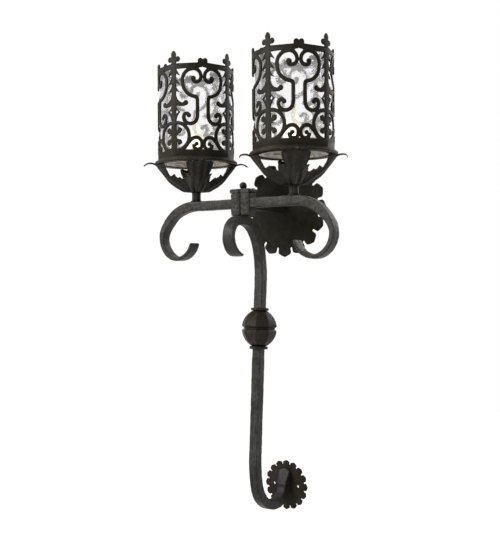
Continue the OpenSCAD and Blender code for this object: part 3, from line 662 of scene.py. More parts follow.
def makeCollar():
    s = collarShape
    height = collarHigh.z - collarLow.z
    levels = [(collarLow.z + up, shrink) for up, shrink in s["edge"]]
    levels += [(collarLow.z + height * k / s["rounds"], 0) for k in range(2, s["rounds"] - 1)]
    levels += [(collarHigh.z - up, shrink) for up, shrink in s["edge"][::-1]]
    collar = drawOut("hammered_collar", levelRings(collarOutline(), levels))
    hammer(collar, s)
    gap, far = bar / 2 + s["clear"], collarHigh.x - collarLow.x
    cutWith(collar, cutterBox((-far, -armOut - gap, armMid - gap), (far, -armOut + gap, armMid + gap)))
    cutWith(collar, cutterBox((-gap, -armOut, -gap), (gap, 0, gap)))
    finish(collar, barIronLitCopy, "collar", smoothAngle=50)
    s = capShape
    capLow, capHigh = boxOf("collar_cap")
    levels = [(capLow.z + t * (capHigh.z - capLow.z), shrink) for t, shrink in s["pillow"]]
    cap = drawOut("pillow_cap", levelRings(collarOutline(s["over"]), levels))
    hammer(cap, s)
    finish(cap, barIronLitCopy, "collar_cap", smoothAngle=50)
    s = knobShape
    ballLow, ballHigh = boxOf("finial_ball")
    radius = (ballHigh.x - ballLow.x) / 2
    profile = [(r, ballLow.z + up) for r, up in s["foot"]]
    profile += arcPoints((0, ballHigh.z - radius), radius, s["first"], s["last"], 18)
    ball = turned("finial_knob", profile, s["sides"])
    ball.data.transform(Matrix.Translation((0, -armOut, 0)))
    hammer(ball, s)
    finish(ball, castIronShadedCopy, "finial_ball", smoothAngle=50)
    print("collar, cap and knob shaped")


makeCollar()


# Ball on the stem: two eight-sided halves with lips, a rib between them, a thick washer above and below
# Lip rows are a share of the radius and a height, rib rows the same from its lower to its upper edge
ballShape = {"radius": 32.3, "half": 34.5, "top": 0.928, "lip": 4.5,
             "sides": 96, "facets": 45, "softest": 0.998,
             "lipRows": [(0.85, 1.4), (0.9, 1.5), (0.945, 2.3), (0.975, 3.4), (0.988, 4.2)],
             "ribRows": [(0.85, -1.4), (0.9, -0.9), (0.915, 0), (0.9, 0.9), (0.85, 1.4)],
             "clear": 0.1, "blow": 11, "depth": 0.25, "uneven": 0.3}
washerShape = {"high": 5.0, "rounding": 1.4, "inward": 4, "blow": 6, "depth": 0.2, "uneven": 0.2}


def facet(angle):
    width = ballShape["facets"]
    part = (math.degrees(angle) + width / 2) % width - width / 2
    return min(math.cos(math.radians(width / 2)) / math.cos(math.radians(part)), ballShape["softest"])


def squareHole(angle):
    return (bar / 2 + ballShape["clear"]) / max(abs(math.cos(angle)), abs(math.sin(angle)))


def shellOnBar(name, profile, shape):
    sides = ballShape["sides"]
    rings = [ringOf(sides, lambda angle: r * shape(angle), z) for r, z in profile]
    rings += [ringOf(sides, squareHole, z) for z in (profile[-1][1], profile[0][1])]
    return drawOut(name, rings, closed=True)


def finishOnShank(piece, material, node, smoothAngle):
    tilt = Matrix.Rotation(math.radians(-stemShape["lean"]), 4, "X")
    piece.data.transform(Matrix.Translation(middleOf("ball_band")) @ tilt)
    finish(piece, material, node, smoothAngle=smoothAngle)


def makeBall():
    s = ballShape
    lip, top = (math.degrees(math.asin(share)) for share in (s["lip"] / s["half"], s["top"]))
    outline = [(share * s["radius"], z) for share, z in s["lipRows"]]
    outline += [(s["radius"] * math.cos(math.radians(a)), s["half"] * math.sin(math.radians(a)))
                for a in steps(lip + 1.2, top, 22)]
    for name, node, flip, iron in (("ball_half_upper", "ball_upper", 1, sheetIronShadedCopy),
                                   ("ball_half_lower", "ball_lower", -1, castIronShadedCopy)):
        half = shellOnBar(name, [(r, flip * z) for r, z in outline], facet)
        hammer(half, s)
        finishOnShank(half, iron, node, 24)
    rib = shellOnBar("ball_rib", [(share * s["radius"], z) for share, z in s["ribRows"]], facet)
    finishOnShank(rib, castIronShadedCopy, "ball_band", 35)
    ballTop = s["top"] * s["half"]
    s = washerShape
    nose = s["rounding"]
    for name, node, flip, radius in (("washer_above_ball", "upper_washer", 1, 16),
                                     ("washer_below_ball", "lower_washer", -1, 16.5)):
        profile = [(radius - s["inward"], ballTop)]
        profile += arcPoints((radius - nose, ballTop + nose), nose, -90, 0, 5)
        profile += arcPoints((radius - nose, ballTop + s["high"] - nose), nose, 0, 90, 5)
        profile.append((radius - s["inward"], ballTop + s["high"]))
        washer = shellOnBar(name, [(r, flip * z) for r, z in profile], lambda angle: 1)
        hammer(washer, s)
        finishOnShank(washer, castIronShadedCopy, node, 50)
    print("ball and washers shaped")


makeBall()


# Wall plate and rosette: sixteen petals parted by keyhole slots
# The tip runs from the petal's middle to its corner, as shares of the radius and of the corner's angle
plateShape = {"petals": 16, "cornerAt": 9.3, "eyeFrom": 65, "mouthAt": 0.93, "mouthShare": 0.35, "skin": 0.2,
              "tip": [(1.0, 0), (0.9985, 0.06), (0.978, 0.4), (0.957, 0.74), (0.952, 0.8), (0.93, 0.985),
                      (0.921, 1.0)]}
wallPlate = {"slotBottom": 74.0, "eye": 2.9, "mouth": 2.2, "rim": 72.0, "hole": 5.0,
             "sheet": 2.5, "edge": 0.7}
footPlate = {"slotBottom": 38.6, "eye": 1.7, "mouth": 1.5, "rim": 37.4, "hole": 5.4,
             "sheet": 3.0, "edge": 0.9, "screwHole": 2.4, "screwAt": 26}


def petalOutline(radius, look):
    s = plateShape
    pitch = 360 / s["petals"]
    slotAt = math.radians(pitch / 2)
    slotWay = Vector((math.cos(slotAt), math.sin(slotAt)))
    slotSide = Vector((math.sin(slotAt), -math.cos(slotAt)))
    half = [Vector(polar((0, 0), radius * r, s["cornerAt"] * a)) for r, a in s["tip"]]
    eyeAt = look["slotBottom"] + look["eye"]
    mouthAt = eyeAt + s["mouthShare"] * (s["mouthAt"] * radius - eyeAt)
    half.append(slotWay * mouthAt + slotSide * look["mouth"])
    for a in steps(s["eyeFrom"], 0, 5):
        angle = math.radians(a)
        half.append(slotWay * (eyeAt - look["eye"] * math.cos(angle))
                    + slotSide * look["eye"] * math.sin(angle))
    petal = [Vector((p.x, -p.y)) for p in half[1:-1]][::-1] + half
    outline = []
    for k in range(s["petals"]):
        spin = Matrix.Rotation(k * math.radians(pitch) - math.pi / 2, 2)
        outline += [spin @ p for p in petal]
    return outline


def inset(outline, distance):
    moved = []
    for k, p in enumerate(outline):
        way = (outline[(k + 1) % len(outline)] - outline[k - 1]).normalized()
        moved.append(p + distance * Vector((-way.y, way.x)))
    return moved


def petalPlate(name, node, look, rise, backRise):
    low, high = boxOf(node)
    centre = Vector((0, 0, (low.z + high.z) / 2))
    outline = petalOutline((high.z - low.z) / 2, look)
    count = len(outline)
    angles = [math.atan2(p.y, p.x) for p in outline]
    even = [2 * math.pi * k / count + angles[0] for k in range(count)]

    def circle(r, height):
        blend = (r - look["hole"]) / (look["rim"] - look["hole"])
        ring = []
        for k in range(count):
            turn = even[k] + blend * ((angles[k] - even[k] + math.pi) % (2 * math.pi) - math.pi)
            ring.append(Vector((r * math.cos(turn), r * math.sin(turn), height)))
        return ring

    def between(share, border, height):
        inner = circle(look["rim"], 0)
        return [Vector((a.x + (b.x - a.x) * share, a.y + (b.y - a.y) * share, height))
                for a, b in zip(inner, border)]

    sheet, edge, skin = look["sheet"], look["edge"], plateShape["skin"]
    softBorder = inset(outline, edge)
    radii = steps(look["hole"], look["rim"], 22)
    rings = [circle(r, rise(r)) for r in radii]
    rings += [between(share, softBorder, sheet) for share in (0.4, 0.75, 1)]
    rings += [between(1, inset(outline, 0.3 * edge), sheet - 0.3 * edge), between(1, outline, sheet - edge),
              between(1, outline, skin), between(1, inset(outline, skin), 0), between(0.5, softBorder, 0)]
    rings += [circle(r, backRise(r)) for r in radii[::-1]]
    plate = drawOut(name, rings, closed=True)
    plate.data.transform(Matrix.Translation(centre) @ Matrix.Rotation(math.pi / 2, 4, "X"))
    return plate


def makePlates():
    plateLow, plateHigh = boxOf("wall_plate")
    sheet, rim = wallPlate["sheet"], wallPlate["rim"]
    domeRise = plateHigh.y - plateLow.y - sheet
    domeRadius = (rim ** 2 + domeRise ** 2) / (2 * domeRise)

    def front(r):
        return sheet + domeRise - domeRadius + math.sqrt(domeRadius ** 2 - r ** 2)

    def back(r):
        return max(front(r) - sheet, 0.0)

    plate = petalPlate("domed_wall_plate", "wall_plate", wallPlate, front, back)
    finish(plate, sheetIronShadedCopy, "wall_plate", smoothAngle=40)
    s = footPlate
    rosette = petalPlate("petal_rosette", "rosette", s, lambda r: s["sheet"], lambda r: 0.0)
    for side in (-1, 1):
        selectOnly()
        bpy.ops.mesh.primitive_cylinder_add(
            vertices=32, radius=s["screwHole"], depth=4 * s["sheet"], rotation=(math.pi / 2, 0, 0),
            location=(side * s["screwAt"], -s["sheet"] / 2, middleOf("rosette").z))
        cutWith(rosette, settled())
    finish(rosette, sheetIronShadedCopy, "rosette", smoothAngle=40)
    print("plates cut")


makePlates()


# Neck of each lantern: a thin washer and a fluted tube on the arm, with a waist between its rounded ends
neckShape = {"thread": 5.2, "flutes": 8, "fluteDepth": 0.07, "sides": 96, "waist": 0.03, "from": 1.2,
             "ends": [(0, 0.92), (0.6, 0.97)], "washerEdge": 0.5, "blow": 5, "depth": 0.12, "uneven": 0.15}


def makeNeck(side):
    s = neckShape
    thread, edge = s["thread"], s["washerEdge"]
    low, high = boxOf(side + "_neck_washer")
    radius = (high.x - low.x) / 2
    section = [(thread, low.z), (radius - edge, low.z), (radius, low.z + edge), (radius, high.z - edge),
               (radius - edge, high.z), (thread, high.z)]
    washer = turned(side + "_neck_ring", section, 64, closed=True)
    setOnAxis(washer, side)
    finish(washer, castIronShadedCopy, side + "_neck_washer")
    low, high = boxOf(side + "_neck_tube")
    outer, height = (high.x - low.x) / 2, high.z - low.z - 2 * s["from"]
    levels = [(low.z + up, share) for up, share in s["ends"]]
    levels += [(low.z + s["from"] + t * height, 1.0 - s["waist"] * math.sin(math.pi * t))
               for t in steps(0, 1, 12)]
    levels += [(high.z - up, share) for up, share in s["ends"][::-1]]

    def fluted(angle):
        return 1 - s["fluteDepth"] * (0.5 - 0.5 * math.cos(s["flutes"] * angle)) ** 2

    rings = [ringOf(s["sides"], lambda angle: outer * share * fluted(angle), z) for z, share in levels]
    rings += [ringOf(s["sides"], lambda angle: thread, z) for z in (high.z, low.z)]
    tube = drawOut(side + "_fluted_neck", rings, closed=True)
    hammer(tube, s)
    setOnAxis(tube, side)
    finish(tube, castIronShadedCopy, side + "_neck_tube")


# Leaf cup: four boat-shaped acanthus leaves on the diagonals, toothed at their edges, each with a tendril
# A leaf's line gives (out, up); its edge rows give that place, then the edge's own out, up and sideways
leafShape = {
    "turn": -4.6, "sheet": 1.6, "across": 30, "along": 90, "bend": 62,
    "line": [(8, 0), (14, 0.9), (21, 2.7), (30, 7.2), (39, 12.7), (48, 20), (57, 31), (66, 42.3), (71, 48.9)],
    "edge": [(8, 5.7, 0.0, 5.6), (14, 10.0, 1.6, 9.4), (21, 14.2, 5.6, 15.0), (26, 17.0, 10.0, 17.4),
             (32, 20.8, 16.5, 19.6), (37, 25.6, 23.0, 20.8), (39.5, 28.2, 24.6, 20.4), (41, 31.0, 27.4, 21.8),
             (42.5, 34.0, 25.4, 19.2), (46, 37.5, 27.6, 20.6), (49, 40.6, 32.4, 23.2), (50.5, 44.6, 29.4, 19.4),
             (52.5, 47.8, 28.2, 18.0), (55, 49.8, 31.5, 18.8), (58, 51.8, 35.5, 20.6), (62, 54.4, 40.0, 22.2),
             (66, 57.0, 44.5, 23.0), (71, 59.0, 49.4, 23.5)],
    "flute": 2.4, "lift": 1.7, "vein": 0.09, "hem": 0.9, "hemFrom": 0.86, "lowest": 0.02,
    "tendril": [(66.5, -6.0), (70.0, -1.4), (74.0, 1.6), (79, 3.4), (84.5, 3.8), (90, 2.4), (95.4, -1.4)],
    "tendrilAt": 48.3, "tendrilSteps": 18, "tendrilWide": (5.5, 2.0), "tendrilThick": (3.6, 1.6),
    "foot": [(5.2, 0), (9.6, 0), (10.4, 0.5), (10.2, 1.2), (8, 2.0), (5.2, 2.0)],
    "blow": 6, "depth": 0.2, "uneven": 0.2}


def curveThrough(points, count):
    row = [points[0]] + list(points) + [points[-1]]
    found = []
    for t in steps(0, len(points) - 1, count):
        k = min(int(t), len(points) - 2)
        f = t - k
        a, b, c, d = (Vector(row[k + i]) for i in range(4))
        found.append(0.5 * (2 * b + (c - a) * f + (2 * a - 5 * b + 4 * c - d) * f ** 2
                            + (3 * b - a - 3 * c + d) * f ** 3))
    return found


def normalOf(line, k):
    way = (line[min(k + 1, len(line) - 1)] - line[max(k - 1, 0)]).normalized()
    return Vector((way.y, -way.x))


def makeLeaf():
    s = leafShape
    line = curveThrough(s["line"], s["along"])
    bend = math.radians(s["bend"])
    outs, ups, sideways = ([(row[0], row[part]) for row in s["edge"]] for part in (1, 2, 3))
    selectOnly()
    bpy.ops.mesh.primitive_grid_add(x_subdivisions=s["along"], y_subdivisions=s["across"], size=2)
    leaf = called(bpy.context.object, "leaf")
    for vertex in leaf.data.vertices:
        k, v = round((vertex.co.x + 1) / 2 * s["along"]), vertex.co.y
        p = line[k]
        edge = Vector((lookUp(p.x, outs), lookUp(p.x, ups)))
        q = p + (edge - p) * ((1 - math.cos(bend * v)) / (1 - math.cos(bend)))
        y = lookUp(p.x, sideways) * math.sin(bend * v) / math.sin(bend)
        t = k / s["along"]
        flute = s["flute"] * min(1, 3.5 * t) * (1 - 0.35 * t)
        lift = flute * (0.5 * math.cos(4 * math.pi * v) + 0.5 * math.exp(-(v / s["vein"]) ** 2) - 0.25)
        lift += s["hem"] * max(abs(v) - s["hemFrom"], 0) / 0.14 * min(1, 4 * t)
        q = q + min(lift, s["lift"]) * normalOf(line, k)
        vertex.co = (q.x, y, max(q.y, s["lowest"]))
    applyModifier(leaf, "SOLIDIFY", thickness=s["sheet"], offset=-1.0)
    return leaf


def makeTendril():
    s = leafShape
    line = curveThrough(s["tendril"], s["tendrilSteps"])
    stations = []
    for k, p in enumerate(line):
        t = k / s["tendrilSteps"]
        n = normalOf(line, k)
        stations.append((Vector((p.x, 0, p.y + s["tendrilAt"])), Vector((0, 1, 0)), Vector((n.x, 0, n.y)),
                         s["tendrilWide"][0] * (1 - t) ** 0.8 + s["tendrilWide"][1],
                         s["tendrilThick"][0] - s["tendrilThick"][1] * t))
    return forgeBar("tendril", stations, 0.8)


def makeLeafCup(side):
    s = leafShape
    patterns = (makeLeaf(), makeTendril())
    parts = []
    for k in range(4):
        for pattern in patterns:
            parts.append(copyOf(pattern, pattern.name + str(k)))
            parts[-1].data.transform(Matrix.Rotation(math.radians(45 + 90 * k), 4, "Z"))
    for pattern in patterns:
        bpy.data.objects.remove(pattern)
    parts.append(turned("cup_foot", s["foot"], 48, closed=True))
    cup = joinAll(side + "_acanthus_cup", parts)
    hammer(cup, s)
    setOnAxis(cup, side, boxOf("left_leaf_cup")[0].z, turns[side] + s["turn"])
    finish(cup, castIronShadedCopy, side + "_leaf_cup", smoothAngle=45)


# Ring under the cage: half-round outside, with the ledge that carries the glass
ringShape = {"wide": 15, "ledge": 2.2, "nose": 2.5, "flush": 70.1, "clear": 1, "edge": 0.3,
             "sides": 160, "blow": 12, "depth": 0.2, "uneven": 0.25}


def makeRing(side):
    s = ringShape
    low, high = boxOf(side + "_ring")
    glassLow, glassHigh = boxOf("left_glass")
    seat = (glassHigh.x - glassLow.x) / 2 + s["clear"]
    outer = (high.x - low.x) / 2
    inner, ledge = outer - s["wide"], low.z + s["ledge"]
    nose, flush, edge = s["nose"], s["flush"], s["edge"]
    noseTop = low.z + 2 * nose
    section = [(inner, low.z), (outer - nose - 4, low.z), (outer - nose, low.z + 0.02)]
    section += arcPoints((outer - nose, low.z + nose), nose, -80, 80, 12)
    section += [(outer - nose, noseTop), (flush + 0.6, noseTop + 0.1), (flush, noseTop + 0.7),
                (flush, high.z - edge), (flush - edge, high.z), (seat, high.z), (seat, ledge), (inner, ledge)]
    ring = turned(side + "_half_round_ring", section, s["sides"], closed=True)
    hammer(ring, s)
    setOnAxis(ring, side)
    finish(ring, castIronShadedCopy, side + "_ring", smoothAngle=40)


# Cage: strap work round the glass, laid out flat as one eighth, fused, then wrapped round and repeated
# Flat places are (along, up) from the middle of a panel at 0 to the post at -half
# Legs of a path are arcs of (centre, radius, first, last) or lists of points; post rows are (up, width)
cageShape = {
    "half": 54.9, "sheet": 3.0, "stroke": 6.6, "high": 163.5, "over": 1.5, "voxel": 0.55, "ratio": 0.16,
    "bandFoot": -0.8, "bandTop": 11.0, "rimFoot": 153.9, "rimOver": 0.4, "notch": (7.6, 157.8),
    "spacing": 1.1, "smoothings": 5, "seam": 0.12, "ballHigh": 1.7, "blow": 4.5, "depth": 0.14, "uneven": 0.1,
    "strapTop": [(1, -0.75), (0.8, -0.28), (0.42, -0.07), (0, 0), (-0.42, -0.07), (-0.8, -0.28), (-1, -0.75)],
    "volute": [((-13, 134.5), 5, 180, 270), ((-12.6, 139), 9.6, -70, 0), ((-17, 139.5), 13.8, 20, 90),
               ((-17.5, 133), 20.2, 110, 180), ((-10, 131), 27.5, 200, 255),
               [(-11.4, 103.6), (-9.9, 100), (-9.9, 69)], ((-22.8, 69), 12.8, -25, -180),
               ((-29.9, 69), 5.8, 150, 50)],
    "bigScroll": [[(-56, 58)], ((-49.4, 34.6), 24.4, 90, -90), [(-56, 10.2)]],
    "footArch": [[(-43, 4), (-41, 7), (-32, 16), (-26, 23.6)], ((-12.8, 21.3), 11, 135, 0),
                 ((-9.6, 18.1), 7.5, -20, -195)],
    "balls": [(-17.1, 135.7, 4.9), (-25.4, 71, 4.4), (-12, 20.4, 4.0), (-31, 93.3, 4.9)],
    "crossArm": [(-56, 114.4), (-52.6, 113.4), (-51.2, 111.6), (-49.8, 106), (-47.6, 101), (-43.5, 96.6),
                 (-38, 94), (-33, 94.6), (-29.6, 90), (-34, 87.4), (-42.5, 87.6), (-47.5, 88.8), (-51, 89.4),
                 (-56, 87.4)],
    "middle": 35.2, "curl": [[(-54, 42.7), (-47, 42.7)], ((-44.2, 46.3), 3.4, -80, 40)],
    "curlSpacing": 0.8, "curlWide": 5.4, "curlBall": (-43.8, 12, 4.0),
    "diamond": [(94, 4.4), (86.5, 5.4), (82, 8.8), (78, 13.4), (74, 9.8), (69, 6.8), (62, 4.6), (57, 4.4)],
    "diamondHole": (6.6, 78, 2.5),
    "post": [(2, 6.4), (18, 5.8), (25, 5.6), (48, 5.6), (54, 5.2), (60, 4.8), (160, 4.6)],
    "thorns": [(155, 141.0, 13.8, 4.6), (138.5, 124.6, 13.8, 4.6), (122.5, 111.4, 13.2, 4.6),
               (43.5, 35.2, 12, 5), (33.7, 28.5, 10, 5)],
    "finials": [((0, 169), 3.4, (8.2, 171.3), 4.0), ((0, 158), 6, (0, 168.5), 3.8),
                ((0, 171), 4.2, (0, 180), 5.1), ((0, 180), 5.1, (0, 184.6), 2.3),
                ((51.5, 160), 4.6, (50.6, 167.0), 4.8)],
    "finialBalls": [(8.4, 171.4, 5.2), (50.6, 167.2, 4.8)]}


def evenPath(legs, spacing=cageShape["spacing"]):
    raw = []
    for leg in legs:
        if isinstance(leg, list):
            raw += [Vector(p) for p in leg]
        else:
            centre, radius, first, last = leg
            count = max(3, round(abs(last - first) * radius / 80))
            raw += [Vector(p) for p in arcPoints(centre, radius, first, last, count)]
    lengths = [0.0]
    for a, b in zip(raw, raw[1:]):
        lengths.append(lengths[-1] + (b - a).length)
    tables = [list(zip(lengths, (p[axis] for p in raw))) for axis in (0, 1)]
    path = [Vector([lookUp(d, table) for table in tables])
            for d in steps(0, lengths[-1], round(lengths[-1] / spacing))]
    for _ in range(cageShape["smoothings"]):
        path = [path[0]] + [(a + 2 * b + c) / 4 for a, b, c in zip(path, path[1:], path[2:])] + [path[-1]]
    return path


def strap(path, width):
    back = -cageShape["sheet"]
    section = [(1, back)] + cageShape["strapTop"] + [(-1, back)]
    rings = []
    for k, p in enumerate(path):
        side = normalOf(path, k)
        rings.append([Vector((p.x + side.x * a * width / 2, p.y + side.y * a * width / 2, h))
                      for a, h in section])
    return drawOut("strap", rings)


def flatPiece(outline):
    return drawOut("flat", [[Vector((x, y, h)) for x, y in outline] for h in (-cageShape["sheet"], 0)])


# Two rounds with their common tangents, as an outline
def bean(a, radiusA, b, radiusB):
    a, b = Vector(a), Vector(b)
    way = math.degrees(math.atan2((b - a).y, (b - a).x))
    spread = math.degrees(math.acos((radiusA - radiusB) / (b - a).length))
    return flatPiece(arcPoints(a, radiusA, way + spread, way + 360 - spread, 16)
                     + arcPoints(b, radiusB, way - spread, way + spread, 12))


def knob(along, up, radius):
    selectOnly()
    bpy.ops.mesh.primitive_uv_sphere_add(segments=24, ring_count=12, radius=1,
                                         location=(along, up, -cageShape["sheet"] / 2))
    return settled((radius, radius, cageShape["ballHigh"]))


def besidePost(rows):
    post = -cageShape["half"]
    back = post - cageShape["over"]
    return flatPiece([(back, rows[0][0])] + [(post + wide, up) for up, wide in rows] + [(back, rows[-1][0])])


def cageParts():
    s = cageShape
    post, middle, over = -s["half"], s["middle"], s["over"]
    parts = [strap(evenPath(s[name]), s["stroke"]) for name in ("volute", "bigScroll", "footArch")]
    parts += [knob(*ball) for ball in s["balls"]] + [flatPiece(s["crossArm"])]
    curlBallAlong, curlBallUp, curlBallRadius = s["curlBall"]
    for flip in (1, -1):
        curl = [Vector((p.x, middle + flip * (p.y - middle))) for p in evenPath(s["curl"], s["curlSpacing"])]
        parts += [strap(curl, s["curlWide"]), knob(curlBallAlong, middle + curlBallUp * flip, curlBallRadius)]
    diamond = besidePost(s["diamond"])
    holeAlong, holeUp, holeRadius = s["diamondHole"]
    selectOnly()
    bpy.ops.mesh.primitive_cylinder_add(vertices=20, radius=holeRadius, depth=8,
                                        location=(post + holeAlong, holeUp, -1))
    cutWith(diamond, bpy.context.object)
    parts += [diamond, besidePost(s["post"])]
    for root, tip, reach, stem in s["thorns"]:
        notch = min(5, (root - tip) / 3)
        parts.append(besidePost([(root, stem), (0.58 * root + 0.42 * tip, 0.6 * reach), (tip, reach),
                                 (tip + notch, stem)]))
    for (alongA, upA), radiusA, (alongB, upB), radiusB in s["finials"]:
        parts.append(bean((post + alongA, upA), radiusA, (post + alongB, upB), radiusB))
    parts += [knob(post + along, up, radius) for along, up, radius in s["finialBalls"]]
    notchWide, notchTop = s["notch"]
    rimTop = s["high"] + s["rimOver"]
    left = post - over
    parts += [flatPiece([(left, s["bandFoot"]), (over, s["bandFoot"]), (over, s["bandTop"]),
                         (left, s["bandTop"])]),
              flatPiece([(left, s["rimFoot"]), (-notchWide, s["rimFoot"]), (0, notchTop), (over, notchTop),
                         (over, rimTop), (left, rimTop)])]
    return parts


def cageEighth():
    s = cageShape
    eighth = joinAll("cage_eighth", cageParts())
    applyModifier(eighth, "REMESH", mode="VOXEL", voxel_size=s["voxel"])
    applyModifier(eighth, "SMOOTH", factor=0.5, iterations=3)
    bpy.ops.object.mode_set(mode="EDIT")
    for place, clearInner in ((0, False), (-s["half"], True)):
        bpy.ops.mesh.select_all(action="SELECT")
        bpy.ops.mesh.bisect(plane_co=(place, 0, 0), plane_no=(1, 0, 0), clear_inner=clearInner,
                            clear_outer=not clearInner)
    bpy.ops.object.mode_set(mode="OBJECT")
    applyModifier(eighth, "DECIMATE", ratio=s["ratio"])
    for v in eighth.data.vertices:
        for place in (0, -s["half"]):
            if abs(v.co.x - place) < s["seam"]:
                v.co.x = place
    return eighth


def makeCages():
    s = cageShape
    eighth = cageEighth()
    print("cage eighth fused,", len(eighth.data.polygons), "faces")
    cageLow, cageHigh = boxOf("left_cage")
    outer = (cageHigh.x - cageLow.x) / 2
    parts = []
    for k in range(4):
        for flip in (1, -1):
            twin = copyOf(eighth, "eighth")
            for v in twin.data.vertices:
                angle = math.radians(45 + 90 * k + flip * 45 * v.co.x / s["half"])
                r = outer + v.co.z
                v.co = (r * math.cos(angle), r * math.sin(angle), v.co.y)
            parts.append(twin)
    bpy.data.objects.remove(eighth)
    whole = joinAll("cage", parts)
    editAll()
    bpy.ops.mesh.remove_doubles(threshold=0.02)
    bpy.ops.mesh.normals_make_consistent(inside=False)
    bpy.ops.object.mode_set(mode="OBJECT")
    hammer(whole, s)
    for side in ("left", "right"):
        cage = copyOf(whole, side + "_strap_cage")
        setOnAxis(cage, side, cageLow.z, turns[side])
        finish(cage, sheetIronShadedCopy, side + "_cage", smoothAngle=50)
    bpy.data.objects.remove(whole)
    print("cages wrapped")


makeCages()


# Glass cylinder, slightly uneven as blown glass is
glassShape = {"wall": 3.0, "lip": 0.7, "rounds": 64, "sides": 144, "waveSize": 23, "waveDepth": 0.35}


def makeGlass(side):
    s = glassShape
    low, high = boxOf(side + "_glass")
    outer = (high.x - low.x) / 2
    inner, lip = outer - s["wall"], s["lip"]
    zs = steps(low.z + lip, high.z - lip, s["rounds"])
    profile = [(outer - lip, low.z)] + [(outer, z) for z in zs] + [(outer - lip, high.z), (inner + lip, high.z)]
    profile += [(inner, z) for z in zs[::-1]] + [(inner + lip, low.z)]
    glass = turned(side + "_glass_cylinder", profile, s["sides"], closed=True)
    for v in glass.data.vertices:
        wave = noise.noise(v.co / s["waveSize"] + Vector((axes[side], 0, 0))) - 0.5
        share = 1 + s["waveDepth"] * wave / outer
        v.co.x *= share
        v.co.y *= share
    setOnAxis(glass, side)
    finish(glass, seedyGlass, side + "_glass", side + "_glass_body", 60)


# Lamp: torpedo glass on a rolled screw base, with a coiled wire on two posts
# The outline gives the height and the radius as shares; contact, mount and posts give a radius and a height
lampShape = {"outline": [(0, 0.32), (0.06, 0.5), (0.13, 0.78), (0.21, 0.94), (0.3, 1), (0.42, 0.98),
                         (0.55, 0.87), (0.67, 0.69), (0.79, 0.46), (0.89, 0.27), (0.96, 0.16), (1, 0.03)],
             "sides": 64, "neck": 0.4,
             "contact": [(1.2, 0), (2.2, 0.4), (2.2, 1.8), (3.6, 2.2)], "shoulder": (0.9, 3.4), "rim": 0.6,
             "threadLow": 4, "threadHigh": 1.2, "pitch": 2.8, "thread": 0.45, "baseSides": 48,
             "mount": [(2.9, 0), (2.6, 6), (1.6, 11), (0.5, 12)], "post": [(0.35, 8), (0.3, 20)],
             "postTip": 0.28, "postAt": 2.4, "coilDown": 0.8, "coilTurns": 9, "coilSteps": 14,
             "coilRadius": 0.55, "wire": 0.22}


def makeBulb(side, body):
    s = lampShape
    low, high = boxOf(side + "_bulb")
    radius, length = (high.x - low.x) / 2, high.z - low.z
    curve = curveThrough([(share * radius, low.z + t * length) for t, share in s["outline"]], 60)
    bulb = turned(side + "_lamp_glass", [(max(p.x, s["neck"]), p.y) for p in curve], s["sides"])
    setOnAxis(bulb, side)
    finish(bulb, bulbGlass, side + "_bulb", body, 60)


def makeScrewBase(side, body):
    s = lampShape
    low, high = boxOf(side + "_bulb_base")
    radius, sides, thread = (high.x - low.x) / 2, s["baseSides"], s["thread"]
    inward, shoulderUp = s["shoulder"]
    foot = s["contact"] + [(radius - inward, shoulderUp)]
    rings = [ringOf(sides, lambda angle: r, low.z + up) for r, up in foot]
    for z in steps(low.z + s["threadLow"], high.z - s["threadHigh"], 40):
        phase = 2 * math.pi * z / s["pitch"]
        rings.append(ringOf(sides, lambda angle: radius - thread + thread * math.sin(phase - angle), z))
    rings.append(ringOf(sides, lambda angle: radius - s["rim"], high.z))
    base = drawOut(side + "_screw_base", rings)
    setOnAxis(base, side)
    finish(base, turnedBrass, side + "_bulb_base", body, 50)


def makeFilament(side, body):
    s = lampShape
    low, high = boxOf(side + "_filament")
    top = high.z - s["coilDown"]
    parts = [turned("stem", [(r, low.z + up) for r, up in s["mount"]], 24)]
    for end in (-1, 1):
        post = turned("post", [(r, low.z + up) for r, up in s["post"]] + [(s["postTip"], top)], 12)
        post.data.transform(Matrix.Translation((end * s["postAt"], 0, 0)))
        parts.append(post)
    stations = []
    for t in steps(0, 1, s["coilTurns"] * s["coilSteps"]):
        a = 2 * math.pi * s["coilTurns"] * t
        out = Vector((0, math.cos(a), math.sin(a)))
        place = Vector(((2 * t - 1) * s["postAt"], 0, top)) + s["coilRadius"] * out
        stations.append((place, out, Vector((1, 0, 0)), s["wire"], s["wire"]))
    parts.append(forgeBar("coil", stations, 0.1))
    wire = joinAll(side + "_coiled_wire", parts)
    setOnAxis(wire, side)
    finish(wire, glowWire, side + "_filament", body, 60)


for side in ("left", "right"):
    makeNeck(side)
    makeLeafCup(side)
    makeRing(side)
    makeGlass(side)
    for makePart in (makeBulb, makeScrewBase, makeFilament):
        makePart(side, side + "_bulb_body")
print("lantern fittings shaped")


# Plain level light: a pale surround, one broad lamp from the front left, weaker ones right, above and behind
# Places and sizes here are in metres; each lamp is (name, place, size, power)
stageShape = {"floorAt": -1.7, "floorSize": 16, "floorGlow": 0.85, "ambient": 0.22, "aim": (0, -0.1, -0.15),
              "lamps": [("keyLamp", (-1.5, -2.3, 1.1), 1.3, 68), ("fillLamp", (2.4, -1.2, 0.4), 1.5, 4),
                        ("topLamp", (0.2, -0.4, 2.6), 1.6, 12), ("backLamp", (0.6, 2.4, 0.8), 1.8, 26)]}


# 1 where the eye, or a ray off metal or through glass, meets the surface; 0 for light that falls on the object
def seenDirectly(add):
    path = add("LightPath").outputs
    either = add("Math", {"operation": "MAXIMUM"}, {0: path["Is Camera Ray"], 1: path["Is Glossy Ray"]})
    return add("Math", {"operation": "MAXIMUM"}, {0: either, 1: path["Is Transmission Ray"]})


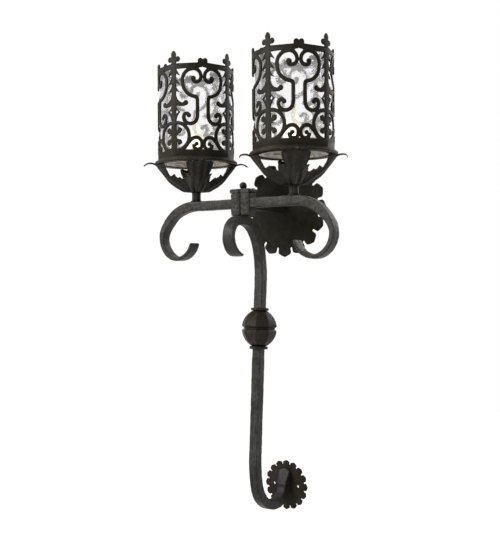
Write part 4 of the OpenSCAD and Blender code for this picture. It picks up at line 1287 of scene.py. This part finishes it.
# Matt painted floor, nearly white, that shows white to the eye and keeps the shadow
def paleFloor():
    material, add, place = newMaterial("paleFloor")
    patches = add("TexNoise", {"Scale": perMetre(700), "Detail": 3, "Roughness": 0.6}, {"Vector": place})
    tone = add("ValToRGB", {"stops": [(0.3, "#f1f1f0"), (0.7, "#f6f6f5")]}, {"Fac": patches})
    matt = add("BsdfPrincipled", {"Roughness": 0.8}, {"Base Color": tone})
    glow = add("Emission", {"Color": hexColour("#ffffff"), "Strength": stageShape["floorGlow"]})
    both = add("AddShader", links={0: matt, 1: glow})
    surface = add("MixShader", links={0: seenDirectly(add), 1: matt, 2: both})
    add("OutputMaterial", links={"Surface": surface})
    return material


def makeStage():
    s = stageShape
    selectOnly()
    bpy.ops.mesh.primitive_plane_add(size=s["floorSize"], location=(0, 0, s["floorAt"]))
    floor = bpy.context.object
    floor.name = "pale_floor"
    floor.data.materials.append(paleFloor())
    for name, place, size, power in s["lamps"]:
        lamp = bpy.data.lights.new(name, "AREA")
        lamp.shape = "DISK"
        lamp.size = size
        lamp.energy = power
        holder = bpy.data.objects.new(name, lamp)
        holder.location = place
        holder.rotation_euler = (Vector(s["aim"]) - Vector(place)).to_track_quat("-Z", "Y").to_euler()
        bpy.context.scene.collection.objects.link(holder)
    world = bpy.data.worlds.new("studioWorld")
    bpy.context.scene.world = world
    add = nodeAdder(world)
    dim, white = (add("Background", {"Color": hexColour("#ffffff"), "Strength": strength})
                  for strength in (s["ambient"], 1.0))
    mix = add("MixShader", links={0: seenDirectly(add), 1: dim, 2: white})
    add("OutputWorld", links={"Surface": mix})
    bpy.context.scene.view_settings.view_transform = "Standard"


makeStage()

# Finishes of the pieces that stay as the frame holds them; a replaced piece isn't seen
keptLooks = {"mounting_bar": zincSteel, "ground_screw": greenSteel, "rail_nipple": turnedBrass,
             "canopy_nut": turnedBrass, "collar_rod": zincSteel, "foot_screw": zincSteel, "nipple": turnedBrass,
             "lock_nut": turnedBrass, "socket": porcelain, "socket_contact": turnedBrass, "wire": leadRubber}
for nodeName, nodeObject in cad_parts.items():
    shortName = nodeName.removeprefix("left_").removeprefix("right_")
    nodeObject.data.materials.clear()
    nodeObject.data.materials.append(keptLooks.get(shortName, castIronShadedCopy))
